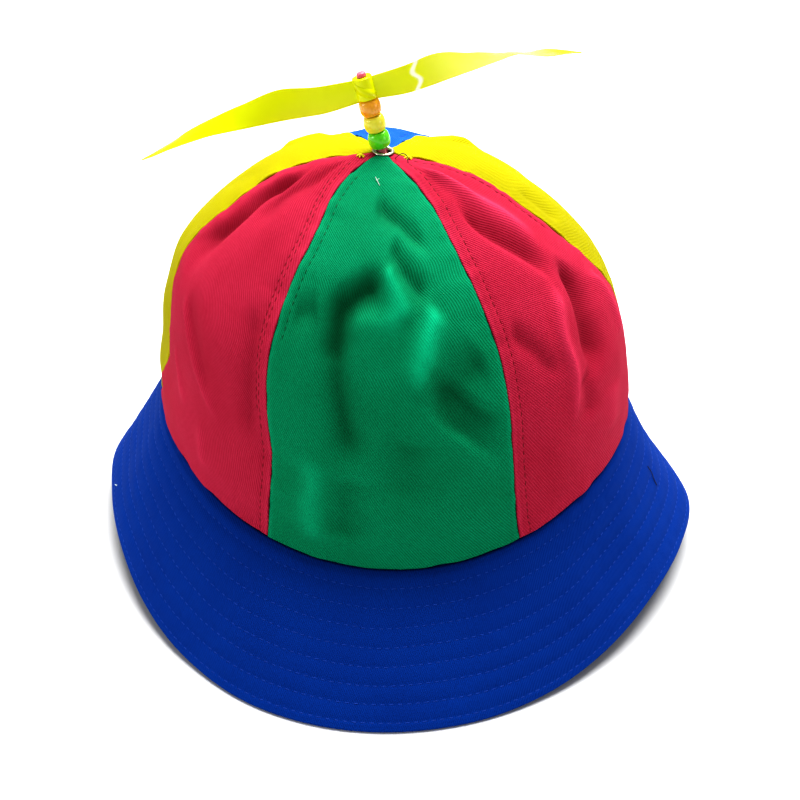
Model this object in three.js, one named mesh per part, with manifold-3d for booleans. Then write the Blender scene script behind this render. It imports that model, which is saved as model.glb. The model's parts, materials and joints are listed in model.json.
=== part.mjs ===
// A propeller beanie: a crown of six cloth gores on a stitched brim, with a film propeller on a beaded rod.
// Millimetres, +Z up, the front towards -Y and the viewer's right at +X.
// The origin is on the floor, under the middle of the brim's outline.

import * as THREE from 'three';
import { mergeVertices } from 'three/addons/utils/BufferGeometryUtils.js';
import Module from 'manifold-3d';

const wasm = await Module();
wasm.setup();

// Crown
const headWidth = 184.6; // side to side, at the brim seam
const headFront = 90; // from the crown's middle to its seam at the front
const headBack = 91.5;
const seamHeight = 47.4; // mean height of the brim seam over the floor
const seamSaddle = 10.4; // the seam rises by this at the sides and sinks by it at the front and back
const crownRise = 110.8; // from the mean brim seam to the eyelet
const topShiftX = -8.7; // the slack crown leans, so the eyelet is off its middle
const topShiftY = -1.8;
const clothWall = 1.2;
const gorePuff = 1.5; // how far a gore stands out between its seams
const foldDepth = 4;
const foldWidth = 8;
const foldFade = 0.16; // share of a gore over which its folds die away towards its edges

// Brim
const brimRun = 30.8; // mean reach of the edge beyond the seam, seen from above
const brimWall = 2;
const frontBulge = 1.5; // the brim swells by this half way down, at the front and the back
const sideHollow = 1.9; // and draws in by this at the sides
const sideLift = 10.3; // the edge stands this far off the floor at the sides
const flatShare = 0.08; // how much of the edge, front and back, lies flat on the floor

// Eyelet, spindle, beads and propeller
const pieceGap = 0.3; // between pieces that are sewn or seated together
const eyeletHole = 5.2; // diameter
const eyeletWall = 0.4;
const eyeletFlange = 1.2; // width beyond the barrel
const flangeWall = 0.6;
const edgeClear = 0.6; // from the eyelet's barrel to the cloth's cut edge
const spindleLean = -16.9; // degrees, towards -X
const rodRadius = 1.3;
const rodClear = 0.3; // round the rod in a bead or the hub
const footRadius = 4; // the plain ball under the crown that holds the spindle
const headRadius = 1.8;
const headHeight = 2.6;
const beadRadius = 4;
const beadHeight = 6.05;
const beadRound = 1.4; // how far a bead draws in at its ends
const beadLift = 1.25; // from the eyelet to the first bead
const hubRadius = 3.5;
const hubHeight = 8.2;
const leftSpan = 86; // from the spindle to a blade's tip
const rightSpan = 76.6; // the strip sits off its middle in the hub
const bladeChord = 11.7;
const bladeWall = 0.8;
const bladeTurn = 5.2; // degrees, the blades' place about the spindle

// Mesh steps
const goreColumns = 12;
const goreRows = 16;
const brimColumns = 72;
const brimRows = 4;
const roundSides = 16;
const bladeRows = 14;

// Sections of the crown from the brim seam up. rise is a share of crownRise, and the other columns are
// the reach to each side, as shares of the reach at the seam. The eyelet closes the last section.
const crownSections = [
  { rise: 0, left: 1, right: 1, front: 1, back: 1 },
  { rise: 0.12, left: 1.002, right: 0.989, front: 0.999, back: 0.998 },
  { rise: 0.26, left: 0.972, right: 0.964, front: 0.979, back: 0.981 },
  { rise: 0.41, left: 0.95, right: 0.927, front: 0.94, back: 0.942 },
  { rise: 0.56, left: 0.888, right: 0.857, front: 0.868, back: 0.873 },
  { rise: 0.7, left: 0.742, right: 0.737, front: 0.754, back: 0.769 },
  { rise: 0.82, left: 0.576, right: 0.592, front: 0.604, back: 0.633 },
  { rise: 0.91, left: 0.416, right: 0.429, front: 0.421, back: 0.459 },
  { rise: 0.97, left: 0.23, right: 0.235, front: 0.22, back: 0.245 },
];

// Seams between the gores, as azimuths in degrees from the front towards +X, at even steps up the crown.
const goreSeams = [
  { next: 'panel_yellow_left', azimuths: [-138, -140, -142, -144, -145.5, -147, -147.5, -148, -147] },
  { next: 'panel_red_left', azimuths: [-77, -73, -68, -71, -80, -82, -84.5, -82.5, -77] },
  { next: 'panel_green_front', azimuths: [-24.3, -24.1, -24, -26, -27.7, -28.8, -28.5, -33.5, -37] },
  { next: 'panel_red_right', azimuths: [34.7, 33.5, 33.2, 33.5, 34.4, 34.2, 34, 35.5, 35] },
  { next: 'panel_yellow_right', azimuths: [91.5, 92.5, 93.5, 93, 88.5, 84.5, 84.5, 90, 88] },
  { next: 'panel_blue_back', azimuths: [150, 153, 156.5, 160, 162.5, 164, 163, 160, 153] },
];

// Folds of the slack cloth. Each runs from one point of a gore to another, as shares across it and up it.
// width and depth are shares of foldWidth and foldDepth, and a depth below 0 is a ridge.
const folds = [
  { panel: 'panel_green_front', from: [0.3, 0.86], to: [0.83, 0.75], width: 0.8, depth: 0.7 },
  { panel: 'panel_green_front', from: [0.42, 0.74], to: [0.7, 0.57], width: 0.8, depth: 0.8 },
  { panel: 'panel_green_front', from: [0.49, 0.66], to: [0.62, 0.58], width: 0.6, depth: -0.6 },
  { panel: 'panel_green_front', from: [0.48, 0.63], to: [0.3, 0.56], width: 0.8, depth: 1 },
  { panel: 'panel_green_front', from: [0.31, 0.54], to: [0.31, 0.22], width: 0.9, depth: 0.8 },
  { panel: 'panel_green_front', from: [0.68, 0.53], to: [0.58, 0.45], width: 0.8, depth: -0.5 },
  { panel: 'panel_green_front', from: [0.79, 0.5], to: [0.76, 0.28], width: 1.3, depth: 0.9 },
  { panel: 'panel_red_left', from: [0.5, 0.55], to: [0.74, 0.29], width: 0.9, depth: -0.5 },
  { panel: 'panel_red_left', from: [0.42, 0.42], to: [0.5, 0.24], width: 0.9, depth: -0.4 },
  { panel: 'panel_red_left', from: [0.3, 0.8], to: [0.6, 0.62], width: 1.2, depth: 0.6 },
  { panel: 'panel_red_right', from: [0.36, 0.78], to: [0.53, 0.57], width: 0.9, depth: 0.8 },
  { panel: 'panel_red_right', from: [0.53, 0.57], to: [0.38, 0.3], width: 1, depth: 0.7 },
  { panel: 'panel_red_right', from: [0.72, 0.6], to: [0.68, 0.36], width: 1, depth: -0.5 },
  { panel: 'panel_yellow_left', from: [0.35, 0.72], to: [0.62, 0.5], width: 1.2, depth: 0.7 },
  { panel: 'panel_yellow_right', from: [0.6, 0.7], to: [0.4, 0.46], width: 1.2, depth: 0.6 },
  { panel: 'panel_blue_back', from: [0.35, 0.76], to: [0.55, 0.5], width: 1.2, depth: 0.7 },
  { panel: 'panel_blue_back', from: [0.7, 0.44], to: [0.64, 0.2], width: 1.1, depth: 0.5 },
];

// Reach of the brim's edge, as shares of brimRun, at even steps from the front round towards +X.
const brimReach = [
  1.43, 1.36, 1.22, 1.08, 0.99, 1, 1.05, 0.84, 0.82, 0.85, 0.91, 0.96,
  0.98, 0.96, 0.88, 0.77, 0.67, 0.65, 0.79, 0.75, 0.8, 0.95, 1.16, 1.37,
];

// Sections of a blade from the hub to the tip. chord is a share of bladeChord, twist is in degrees from
// upright, and rise is a share of the blade's span.
const bladeSections = [
  { chord: 0.64, twist: 0, rise: 0 },
  { chord: 0.86, twist: -1.5, rise: 0 },
  { chord: 0.96, twist: -8, rise: 0.019 },
  { chord: 0.74, twist: -26, rise: 0.008 },
  { chord: 0.62, twist: -60, rise: -0.013 },
  { chord: 0.66, twist: -88, rise: -0.042 },
  { chord: 0.06, twist: -90, rise: -0.081 },
];

const finishes = {
  panel_green_front: { color: 0x0b9a63, roughness: 0.9 },
  panel_red_left: { color: 0xd02a4a, roughness: 0.9 },
  panel_red_right: { color: 0xd02a4a, roughness: 0.9 },
  panel_yellow_left: { color: 0xf5ea10, roughness: 0.9 },
  panel_yellow_right: { color: 0xf5ea10, roughness: 0.9 },
  panel_blue_back: { color: 0x2f62d8, roughness: 0.9 },
  brim: { color: 0x0a3fa0, roughness: 0.9 },
  grommet: { color: 0xd9d3bd, roughness: 0.3, metalness: 1 },
  spindle: { color: 0xd8607c, roughness: 0.4 },
  bead_green: { color: 0x46d714, roughness: 0.15 },
  bead_yellow: { color: 0xfaeb3c, roughness: 0.15 },
  bead_orange: { color: 0xffaa14, roughness: 0.15 },
  propeller: { color: 0xeaf00a, roughness: 0.25, transparent: true, opacity: 0.75 },
};

const radians = THREE.MathUtils.degToRad;
const outerBarrel = eyeletHole / 2 + eyeletWall;
const topRadius = outerBarrel + edgeClear;

// A gore's own length and width, used to measure along and across its folds
const goreArc = (Math.PI * headWidth) / goreSeams.length;
const goreLength = crownRise + headWidth / 4;

// A smooth run through evenly spaced values. share goes from 0 at the first to 1 at the last.
function between(values, share) {
  const last = values.length - 1;
  const place = THREE.MathUtils.clamp(share, 0, 1) * last;
  const index = Math.min(Math.floor(place), last - 1);
  const start = values[index];
  const end = values[index + 1];
  const before = index > 0 ? values[index - 1] : 2 * start - end;
  const after = index + 2 <= last ? values[index + 2] : 2 * end - start;
  return smoothStep(before, start, end, after, place - index);
}

// The same through values that close on themselves. turn goes from 0 to 1 all the way round.
function around(values, turn) {
  const count = values.length;
  const place = THREE.MathUtils.euclideanModulo(turn, 1) * count;
  const index = Math.floor(place) % count;
  const at = (step) => values[(index + step + count) % count];
  return smoothStep(at(-1), at(0), at(1), at(2), place - Math.floor(place));
}

function smoothStep(before, start, end, after, t) {
  const slope = 2 * before - 5 * start + 4 * end - after;
  const curve = -before + 3 * start - 3 * end + after;
  return 0.5 * (2 * start + (end - before) * t + slope * t * t + curve * t * t * t);
}

function seamLevel(azimuth) {
  return seamHeight - seamSaddle * Math.cos(2 * azimuth);
}

// The crown's bare surface at an azimuth in radians. up goes from 0 at the brim seam to 1 at the eyelet.
const sectionRise = [...crownSections.map((row) => row.rise), 1];
const sectionReach = {};
const seamReach = { left: headWidth / 2, right: headWidth / 2, front: headFront, back: headBack };
for (const side of Object.keys(seamReach)) {
  const reaches = crownSections.map((row) => row[side] * seamReach[side]);
  sectionReach[side] = [...reaches, topRadius];
}

function crownPoint(azimuth, up) {
  const rise = between(sectionRise, up);
  const across = Math.sin(azimuth);
  const along = Math.cos(azimuth);
  const sideReach = between(across < 0 ? sectionReach.left : sectionReach.right, up);
  const frontReach = between(along > 0 ? sectionReach.front : sectionReach.back, up);
  const level = THREE.MathUtils.lerp(seamLevel(azimuth), seamHeight, rise);
  return new THREE.Vector3(
    topShiftX * rise ** 2 + sideReach * across,
    topShiftY * rise ** 2 - frontReach * along,
    level + crownRise * rise,
  );
}

function crownNormal(azimuth, up) {
  const step = 0.01;
  const low = Math.max(up - step, 0);
  const high = Math.min(up + step, 1);
  const round = crownPoint(azimuth + step, up).sub(crownPoint(azimuth - step, up));
  const rising = crownPoint(azimuth, high).sub(crownPoint(azimuth, low));
  return round.cross(rising).normalize();
}

// How far a gore's surface stands off the bare crown, at shares across it and up it.
function standOff(panel, across, up) {
  const puff = gorePuff * Math.sin(Math.PI * across) * Math.sqrt(Math.sin(Math.PI * up));
  const nearSeam = Math.min(across, 1 - across, up, 1 - up);
  const fade = THREE.MathUtils.smoothstep(nearSeam, 0, foldFade);
  let fold = 0;
  for (const row of folds.filter((each) => each.panel === panel)) {
    const offset = distanceToFold(row, across, up) / (row.width * foldWidth);
    fold += row.depth * foldDepth * Math.exp(-offset * offset);
  }
  return puff - fade * fold;
}

function distanceToFold(row, across, up) {
  const from = new THREE.Vector3(row.from[0] * goreArc, row.from[1] * goreLength, 0);
  const to = new THREE.Vector3(row.to[0] * goreArc, row.to[1] * goreLength, 0);
  const point = new THREE.Vector3(across * goreArc, up * goreLength, 0);
  const nearest = new THREE.Line3(from, to).closestPointToPoint(point, true, new THREE.Vector3());
  return nearest.distanceTo(point);
}

// A closed wall between two grids of points, row by row going up. Columns run anticlockwise from above,
// and a ring joins its last column to its first.
function wallSolid(outer, inner, isRing) {
  const rows = outer.length;
  const columns = outer[0].length;
  const positions = [...outer.flat(), ...inner.flat()].flatMap((point) => point.toArray());
  const faces = [];
  const front = (row, column) => row * columns + (column % columns);
  const back = (row, column) => rows * columns + front(row, column);
  const quad = (a, b, c, d) => faces.push(a, b, c, a, c, d);
  const spans = isRing ? columns : columns - 1;
  for (let row = 0; row < rows - 1; row += 1) {
    for (let column = 0; column < spans; column += 1) {
      const next = column + 1;
      quad(front(row, column), front(row, next), front(row + 1, next), front(row + 1, column));
      quad(back(row, column), back(row + 1, column), back(row + 1, next), back(row, next));
    }
  }
  const top = rows - 1;
  for (let column = 0; column < spans; column += 1) {
    const next = column + 1;
    quad(front(0, column), back(0, column), back(0, next), front(0, next));
    quad(front(top, column), front(top, next), back(top, next), back(top, column));
  }
  if (!isRing) {
    const end = columns - 1;
    for (let row = 0; row < top; row += 1) {
      quad(front(row, 0), front(row + 1, 0), back(row + 1, 0), back(row, 0));
      quad(front(row, end), back(row, end), back(row + 1, end), front(row + 1, end));
    }
  }
  return solidGeometry(positions, faces);
}

function solidGeometry(positions, faces) {
  const geometry = new THREE.BufferGeometry();
  geometry.setAttribute('position', new THREE.Float32BufferAttribute(positions, 3));
  geometry.setIndex(faces);
  geometry.computeVertexNormals();
  return geometry;
}

// A solid turned about Z from [radius, height] pairs, which end on the axis or close on themselves.
function turned(profile, sides = roundSides) {
  const points = profile.map(([radius, height]) => new THREE.Vector2(radius, height));
  const lathe = new THREE.LatheGeometry(points, sides).rotateX(Math.PI / 2);
  return positionsOnly(lathe);
}

function positionsOnly(geometry) {
  geometry.deleteAttribute('normal');
  geometry.deleteAttribute('uv');
  return mergeVertices(geometry, 1e-4);
}

function mesh(name, geometry) {
  const made = new THREE.Mesh(geometry, new THREE.MeshStandardMaterial(finishes[name]));
  made.name = name;
  return made;
}

// One gore of the crown, between its own seam and the next, with half a gap at each.
function makeGore(seam, nextSeam) {
  const isLast = nextSeam.azimuths[0] < seam.azimuths[0];
  const outer = [];
  const inner = [];
  for (let row = 0; row <= goreRows; row += 1) {
    const up = row / goreRows;
    const start = radians(between(seam.azimuths, up));
    const end = radians(between(nextSeam.azimuths, up)) + (isLast ? 2 * Math.PI : 0);
    const outerRow = [];
    const innerRow = [];
    for (let column = 0; column <= goreColumns; column += 1) {
      const across = column / goreColumns;
      const azimuth = THREE.MathUtils.lerp(start, end, across);
      const normal = crownNormal(azimuth, up);
      const sideways = new THREE.Vector3(Math.cos(azimuth), Math.sin(azimuth), 0);
      const shift = column === 0 ? 1 : column === goreColumns ? -1 : 0;
      const point = crownPoint(azimuth, up);
      point.addScaledVector(normal, standOff(seam.next, across, up));
      point.addScaledVector(sideways, (shift * pieceGap) / 2);
      outerRow.push(point);
      innerRow.push(point.clone().addScaledVector(normal, -clothWall));
    }
    outer.push(outerRow);
    inner.push(innerRow);
  }
  return mesh(seam.next, wallSolid(outer, inner, false));
}

function edgePoint(azimuth) {
  const reach = brimRun * around(brimReach, azimuth / (2 * Math.PI));
  const along = Math.cos(azimuth);
  const length = along > 0 ? headFront : headBack;
  const lift = sideLift * THREE.MathUtils.smoothstep(Math.sin(azimuth) ** 2, flatShare, 1);
  return new THREE.Vector3(
    (headWidth / 2 + reach) * Math.sin(azimuth),
    -(length + reach) * along,
    lift,
  );
}

const brimAzimuths = Array.from({ length: brimColumns }, (_, step) => (step * 2 * Math.PI) / brimColumns);

// The brim hangs from just under the crown's lower edge. Both of its ends are cut level.
function makeBrim() {
  const outer = [];
  const inner = [];
  for (let row = 0; row <= brimRows; row += 1) {
    const up = row / brimRows;
    const outerRow = [];
    const innerRow = [];
    for (const azimuth of brimAzimuths) {
      const edge = edgePoint(azimuth);
      const seam = crownPoint(azimuth, 0);
      seam.z -= pieceGap;
      const slope = seam.clone().sub(edge);
      const outward = new THREE.Vector3(Math.sin(azimuth), -Math.cos(azimuth), 0);
      const steepness = slope.z / slope.length();
      const bulge = THREE.MathUtils.lerp(frontBulge, -sideHollow, Math.sin(azimuth) ** 2);
      const point = edge.lerp(seam, up);
      point.addScaledVector(outward, bulge * Math.sin(Math.PI * up));
      outerRow.push(point);
      innerRow.push(point.clone().addScaledVector(outward, -brimWall / steepness));
    }
    outer.push(outerRow);
    inner.push(innerRow);
  }
  return mesh('brim', wallSolid(outer, inner, true));
}

// The eyelet, about its own middle. The cloth lies between its flanges with a gap on each side.
const eyeletHalf = clothWall / 2 + pieceGap + flangeWall;

function makeGrommet() {
  const hole = eyeletHole / 2;
  const rim = outerBarrel + eyeletFlange;
  const round = flangeWall / 3;
  const inside = eyeletHalf - flangeWall;
  const profile = [
    [hole, -eyeletHalf],
    [rim, -eyeletHalf],
    [rim, -inside],
    [outerBarrel, -inside],
    [outerBarrel, inside],
    [rim, inside],
    [rim, eyeletHalf - round],
    [rim - round, eyeletHalf],
    [hole + round, eyeletHalf],
    [hole, eyeletHalf - round],
    [hole, -eyeletHalf],
  ];
  return mesh('grommet', turned(profile));
}

// Places along the spindle from the eyelet's middle
const beadPitch = beadHeight + pieceGap;
const firstBead = eyeletHalf + beadLift;
const beads = ['bead_green', 'bead_yellow', 'bead_orange'];
const hubBottom = firstBead + beads.length * beadPitch;
const hubTop = hubBottom + hubHeight;
const boreRadius = rodRadius + rodClear;

// How far the foot's middle lies below the eyelet's lower rim, so that the leaning ball clears it by a gap.
function footDepth() {
  const lean = Math.tan(radians(Math.abs(spindleLean)));
  const rim = eyeletHole / 2 - eyeletHalf * lean;
  const reach = footRadius + pieceGap;
  const root = Math.sqrt((lean * rim) ** 2 - (1 + lean ** 2) * (rim ** 2 - reach ** 2));
  return (lean * rim + root) / (1 + lean ** 2);
}

function makeSpindle() {
  const footMiddle = -(eyeletHalf + footDepth()) / Math.cos(radians(spindleLean));
  const profile = [[0, footMiddle - footRadius]];
  const footSteps = 8;
  const neck = Math.asin(rodRadius / footRadius);
  for (let step = 1; step <= footSteps; step += 1) {
    const angle = ((Math.PI - neck) * step) / footSteps;
    profile.push([footRadius * Math.sin(angle), footMiddle - footRadius * Math.cos(angle)]);
  }
  const headBottom = hubTop + pieceGap;
  profile.push([rodRadius, headBottom]);
  const headSteps = 5;
  for (let step = 0; step < headSteps; step += 1) {
    const angle = (Math.PI / 2) * (step / headSteps);
    profile.push([headRadius * Math.cos(angle), headBottom + headHeight * Math.sin(angle)]);
  }
  profile.push([0, headBottom + headHeight]);
  return mesh('spindle', turned(profile));
}

function makeBead(name, index) {
  const half = beadHeight / 2;
  const steps = 6;
  const profile = [[boreRadius, -half]];
  for (let step = 0; step <= steps; step += 1) {
    const angle = Math.PI * (step / steps - 0.5);
    profile.push([beadRadius - beadRound * (1 - Math.cos(angle)), half * Math.sin(angle)]);
  }
  profile.push([boreRadius, half], [boreRadius, -half]);
  const bead = mesh(name, turned(profile));
  bead.position.z = firstBead + index * beadPitch + half;
  return bead;
}

// A blade along +X from inside the hub's wall. Its sections are twisted strips of film.
function bladeGeometry(span) {
  const column = (key) => bladeSections.map((row) => row[key]);
  const start = (boreRadius + hubRadius) / 2;
  const outer = [];
  const inner = [];
  for (let row = 0; row <= bladeRows; row += 1) {
    const share = row / bladeRows;
    const half = (bladeChord * between(column('chord'), share)) / 2;
    const twist = radians(between(column('twist'), share));
    const rise = span * between(column('rise'), share);
    const middle = new THREE.Vector3(THREE.MathUtils.lerp(start, span, share), 0, rise);
    const chord = new THREE.Vector3(0, Math.sin(twist), Math.cos(twist)).multiplyScalar(half);
    const face = new THREE.Vector3(0, Math.cos(twist), -Math.sin(twist)).multiplyScalar(bladeWall / 2);
    const strip = (side) => [-1, 0, 1].map((at) => {
      return middle.clone().addScaledVector(chord, at).addScaledVector(face, side);
    });
    outer.push(strip(1));
    inner.push(strip(-1));
  }
  return wallSolid(outer, inner, false);
}

function toManifold(geometry) {
  const merged = positionsOnly(geometry);
  const vertProperties = new Float32Array(merged.attributes.position.array);
  const triVerts = new Uint32Array(merged.index.array);
  return new wasm.Manifold(new wasm.Mesh({ numProp: 3, vertProperties, triVerts }));
}

function makePropeller() {
  const half = hubHeight / 2;
  const hub = turned([
    [boreRadius, -half],
    [hubRadius, -half],
    [hubRadius, half],
    [boreRadius, half],
    [boreRadius, -half],
  ]);
  const right = bladeGeometry(rightSpan);
  const left = bladeGeometry(leftSpan).rotateZ(Math.PI);
  const joined = toManifold(hub).add(toManifold(right)).add(toManifold(left)).getMesh();
  const geometry = solidGeometry([...joined.vertProperties], [...joined.triVerts]);
  const propeller = mesh('propeller', geometry);
  propeller.position.z = hubBottom + half;
  propeller.rotation.z = radians(bladeTurn);
  return propeller;
}

// The spindle's group leans about the eyelet's middle.
const eyeletMiddle = new THREE.Vector3(topShiftX, topShiftY, seamHeight + crownRise - clothWall / 2);

function makeTopWorks() {
  const grommet = makeGrommet();
  const stack = new THREE.Group();
  stack.rotation.y = radians(spindleLean);
  stack.add(makeSpindle(), ...beads.map(makeBead), makePropeller());
  const top = new THREE.Group();
  top.position.copy(eyeletMiddle);
  top.add(grommet, stack);
  return top;
}

const hat = new THREE.Group();
goreSeams.forEach((seam, index) => {
  hat.add(makeGore(seam, goreSeams[(index + 1) % goreSeams.length]));
});
hat.add(makeBrim(), makeTopWorks());

const outline = new THREE.Box3().setFromPoints(brimAzimuths.map(edgePoint));
const middle = outline.getCenter(new THREE.Vector3());
hat.position.set(-middle.x, -middle.y, 0);

const beanie = new THREE.Group();
beanie.add(hat);

export default beanie;
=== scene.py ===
# A propeller hat: six slack cloth gores on a stitched brim, and a clear film propeller on a beaded rod.
# Sizes are in millimetres until a mesh is made. The front is towards -Y.

import json
import math

import bpy
import numpy as np
from mathutils import Matrix, Vector


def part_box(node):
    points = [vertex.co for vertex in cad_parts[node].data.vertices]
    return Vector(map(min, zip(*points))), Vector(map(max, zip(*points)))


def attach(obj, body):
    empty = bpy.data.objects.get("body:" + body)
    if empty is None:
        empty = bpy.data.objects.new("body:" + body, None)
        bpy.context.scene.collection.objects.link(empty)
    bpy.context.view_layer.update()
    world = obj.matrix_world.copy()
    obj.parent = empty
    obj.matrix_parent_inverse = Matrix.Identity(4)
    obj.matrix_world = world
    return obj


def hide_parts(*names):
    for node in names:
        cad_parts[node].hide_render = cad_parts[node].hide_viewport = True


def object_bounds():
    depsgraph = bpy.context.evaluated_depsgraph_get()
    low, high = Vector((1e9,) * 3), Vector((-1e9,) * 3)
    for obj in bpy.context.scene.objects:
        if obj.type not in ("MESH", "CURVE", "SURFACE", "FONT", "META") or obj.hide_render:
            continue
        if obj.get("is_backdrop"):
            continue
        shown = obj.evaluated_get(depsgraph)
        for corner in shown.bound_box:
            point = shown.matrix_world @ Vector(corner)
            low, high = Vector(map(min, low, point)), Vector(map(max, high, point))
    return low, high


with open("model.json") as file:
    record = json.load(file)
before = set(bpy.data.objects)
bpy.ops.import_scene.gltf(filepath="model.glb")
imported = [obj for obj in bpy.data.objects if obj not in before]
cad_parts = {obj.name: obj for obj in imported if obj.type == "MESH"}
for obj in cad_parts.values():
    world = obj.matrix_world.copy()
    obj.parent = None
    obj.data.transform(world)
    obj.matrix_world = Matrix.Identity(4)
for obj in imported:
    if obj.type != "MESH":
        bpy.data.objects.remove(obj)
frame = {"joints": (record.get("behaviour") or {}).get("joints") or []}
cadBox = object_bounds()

metre = 0.001  # one millimetre in metres
fullTurn = 2 * math.pi
print("frame loaded, box", [round(v, 4) for v in (*cadBox[0], *cadBox[1])])


# Helpers for meshes

def linear(red, green, blue):
    # A colour as it is on screen, from 0 to 255, as the shader wants it
    shares = [value / 255 for value in (red, green, blue)]
    levels = [s / 12.92 if s <= 0.04045 else ((s + 0.055) / 1.055) ** 2.4 for s in shares]
    return (*levels, 1.0)


def addObject(name, data):
    item = bpy.data.objects.new(name, data)
    bpy.context.scene.collection.objects.link(item)
    return item


def makeObject(name, points, faces, material=None, smooth=True):
    mesh = bpy.data.meshes.new(name)
    mesh.from_pydata((np.asarray(points, float) * metre).tolist(), [], faces)
    mesh.validate()
    if smooth:
        mesh.shade_smooth()
    if material:
        mesh.materials.append(material)
    return addObject(name, mesh)


def addAttribute(piece, name, kind, values):
    attribute = piece.data.attributes.new(name, kind, "POINT")
    key = "vector" if kind == "FLOAT_VECTOR" else "value"
    attribute.data.foreach_set(key, np.asarray(values, np.float32).ravel())


def gridFaces(rows, columns, start=0, ring=False, loop=False, flip=False):
    # Quads over a grid of points. ring joins its last column to its first, loop its last row to its first.
    faces = []
    for row in range(rows if loop else rows - 1):
        for column in range(columns if ring else columns - 1):
            nextRow, nextColumn = (row + 1) % rows, (column + 1) % columns
            quad = [row * columns + column, row * columns + nextColumn]
            quad += [nextRow * columns + nextColumn, nextRow * columns + column]
            faces.append([start + corner for corner in (quad[::-1] if flip else quad)])
    return faces


def tubeFaces(rows, columns, start=0):
    # The faces of a row of rings, with both ends closed
    first = [start + step for step in range(columns)]
    last = [start + (rows - 1) * columns + step for step in range(columns)]
    return gridFaces(rows, columns, start, ring=True) + [first[::-1], last]


def bearings(azimuth):
    # Level unit vectors that point out from the middle at azimuths, and onwards round it
    across, along, level = np.sin(azimuth), np.cos(azimuth), 0 * azimuth
    return np.stack([across, -along, level], -1), np.stack([along, across, level], -1)


def lathe(profile, sides, loop=True):
    # A profile of [radius, height] pairs turned about Z. Without loop it is open, and its ends are capped.
    turn = np.arange(sides) * fullTurn / sides
    radius, height = np.array(profile, float).T
    points = np.stack([
        radius[:, None] * np.cos(turn),
        radius[:, None] * np.sin(turn),
        np.repeat(height[:, None], sides, 1),
    ], -1)
    rows = len(profile)
    faces = gridFaces(rows, sides, ring=True, loop=True) if loop else tubeFaces(rows, sides)
    return points.reshape(-1, 3), faces


def sweep(path, radius, sides=6, start=0):
    # A round tube along a path, with closed ends
    path = np.asarray(path, float)
    radius = np.broadcast_to(radius, len(path))
    ahead = np.gradient(path, axis=0)
    ahead /= np.linalg.norm(ahead, axis=1, keepdims=True)
    side = np.cross(ahead[0], [0.31, 0.2, 0.93])
    points = []
    for place, direction, size in zip(path, ahead, radius):
        side = side - direction * (side @ direction)
        side /= np.linalg.norm(side)
        other = np.cross(direction, side)
        for step in range(sides):
            angle = fullTurn * step / sides
            points.append(place + size * (math.cos(angle) * side + math.sin(angle) * other))
    return points, tubeFaces(len(path), sides, start)


def smoothPath(points, count):
    # A smooth line through a few points
    points = np.asarray(points, float)
    share = np.linspace(0, 1, count)
    return np.stack([between(points[:, axis], share) for axis in range(3)], -1)


def softNoise(x, y, seed):
    # Smooth values from -1 to 1 over a plane, the same each time
    table = np.random.default_rng(seed).uniform(-1, 1, (64, 64))
    column, row = np.floor(x).astype(int), np.floor(y).astype(int)
    shareX, shareY = x - column, y - row
    easeX = shareX ** 3 * (shareX * (shareX * 6 - 15) + 10)
    easeY = shareY ** 3 * (shareY * (shareY * 6 - 15) + 10)
    corner = lambda a, b: table[(column + a) % 64, (row + b) % 64]
    low = corner(0, 0) * (1 - easeX) + corner(1, 0) * easeX
    high = corner(0, 1) * (1 - easeX) + corner(1, 1) * easeX
    return low * (1 - easeY) + high * easeY


def smoothRamp(value, low, high):
    share = np.clip((value - low) / (high - low), 0, 1)
    return share * share * (3 - 2 * share)


def spread(count, crowding):
    # Shares from 0 to 1 that crowd towards both ends
    even = np.linspace(0, 1, count + 1)
    return (1 - crowding) * even + crowding * 0.5 * (1 - np.cos(math.pi * even))


def cubicStep(before, start, end, after, t):
    slope = 2 * before - 5 * start + 4 * end - after
    curve = -before + 3 * start - 3 * end + after
    return 0.5 * (2 * start + (end - before) * t + slope * t * t + curve * t ** 3)


def between(values, share):
    # A smooth run through evenly spaced values. share goes from 0 at the first to 1 at the last.
    values = np.asarray(values, float)
    last = len(values) - 1
    place = np.clip(share, 0, 1) * last
    index = np.minimum(np.floor(place).astype(int), last - 1)
    ends = [2 * values[0] - values[1]], values, [2 * values[-1] - values[-2]]
    row = np.concatenate(ends)
    return cubicStep(row[index], row[index + 1], row[index + 2], row[index + 3], place - index)


def around(values, turn):
    # The same through values that close on themselves. turn goes from 0 to 1 all the way round.
    values = np.asarray(values, float)
    count = len(values)
    place = np.mod(turn, 1) * count
    index = np.floor(place).astype(int) % count
    at = lambda step: values[(index + step) % count]
    return cubicStep(at(-1), at(0), at(1), at(2), place - np.floor(place))


# Helpers for node trees

class Signal:
    # A socket that takes part in Python sums: each sum on values adds its Math node
    def __init__(self, board, socket):
        self.board = board
        self.socket = socket

    def math(self, operation, first, second=0.0):
        return self.board.add("ShaderNodeMath", {"operation": operation}, {0: first, 1: second})

    def pick(self, name):
        return Signal(self.board, self.socket.node.outputs[name])

    def __abs__(self):
        return self.math("ABSOLUTE", self)

    def sine(self):
        return self.math("SINE", self)

    def floor(self):
        return self.math("FLOOR", self)


def addOperator(word, operation):
    # Gives Signal a Python operator, with a number or Signal on either side of it
    setattr(Signal, f"__{word}__", lambda self, other: self.math(operation, self, other))
    setattr(Signal, f"__r{word}__", lambda self, other: self.math(operation, other, self))


addOperator("add", "ADD")
addOperator("sub", "SUBTRACT")
addOperator("mul", "MULTIPLY")
addOperator("truediv", "DIVIDE")
addOperator("pow", "POWER")


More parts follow.
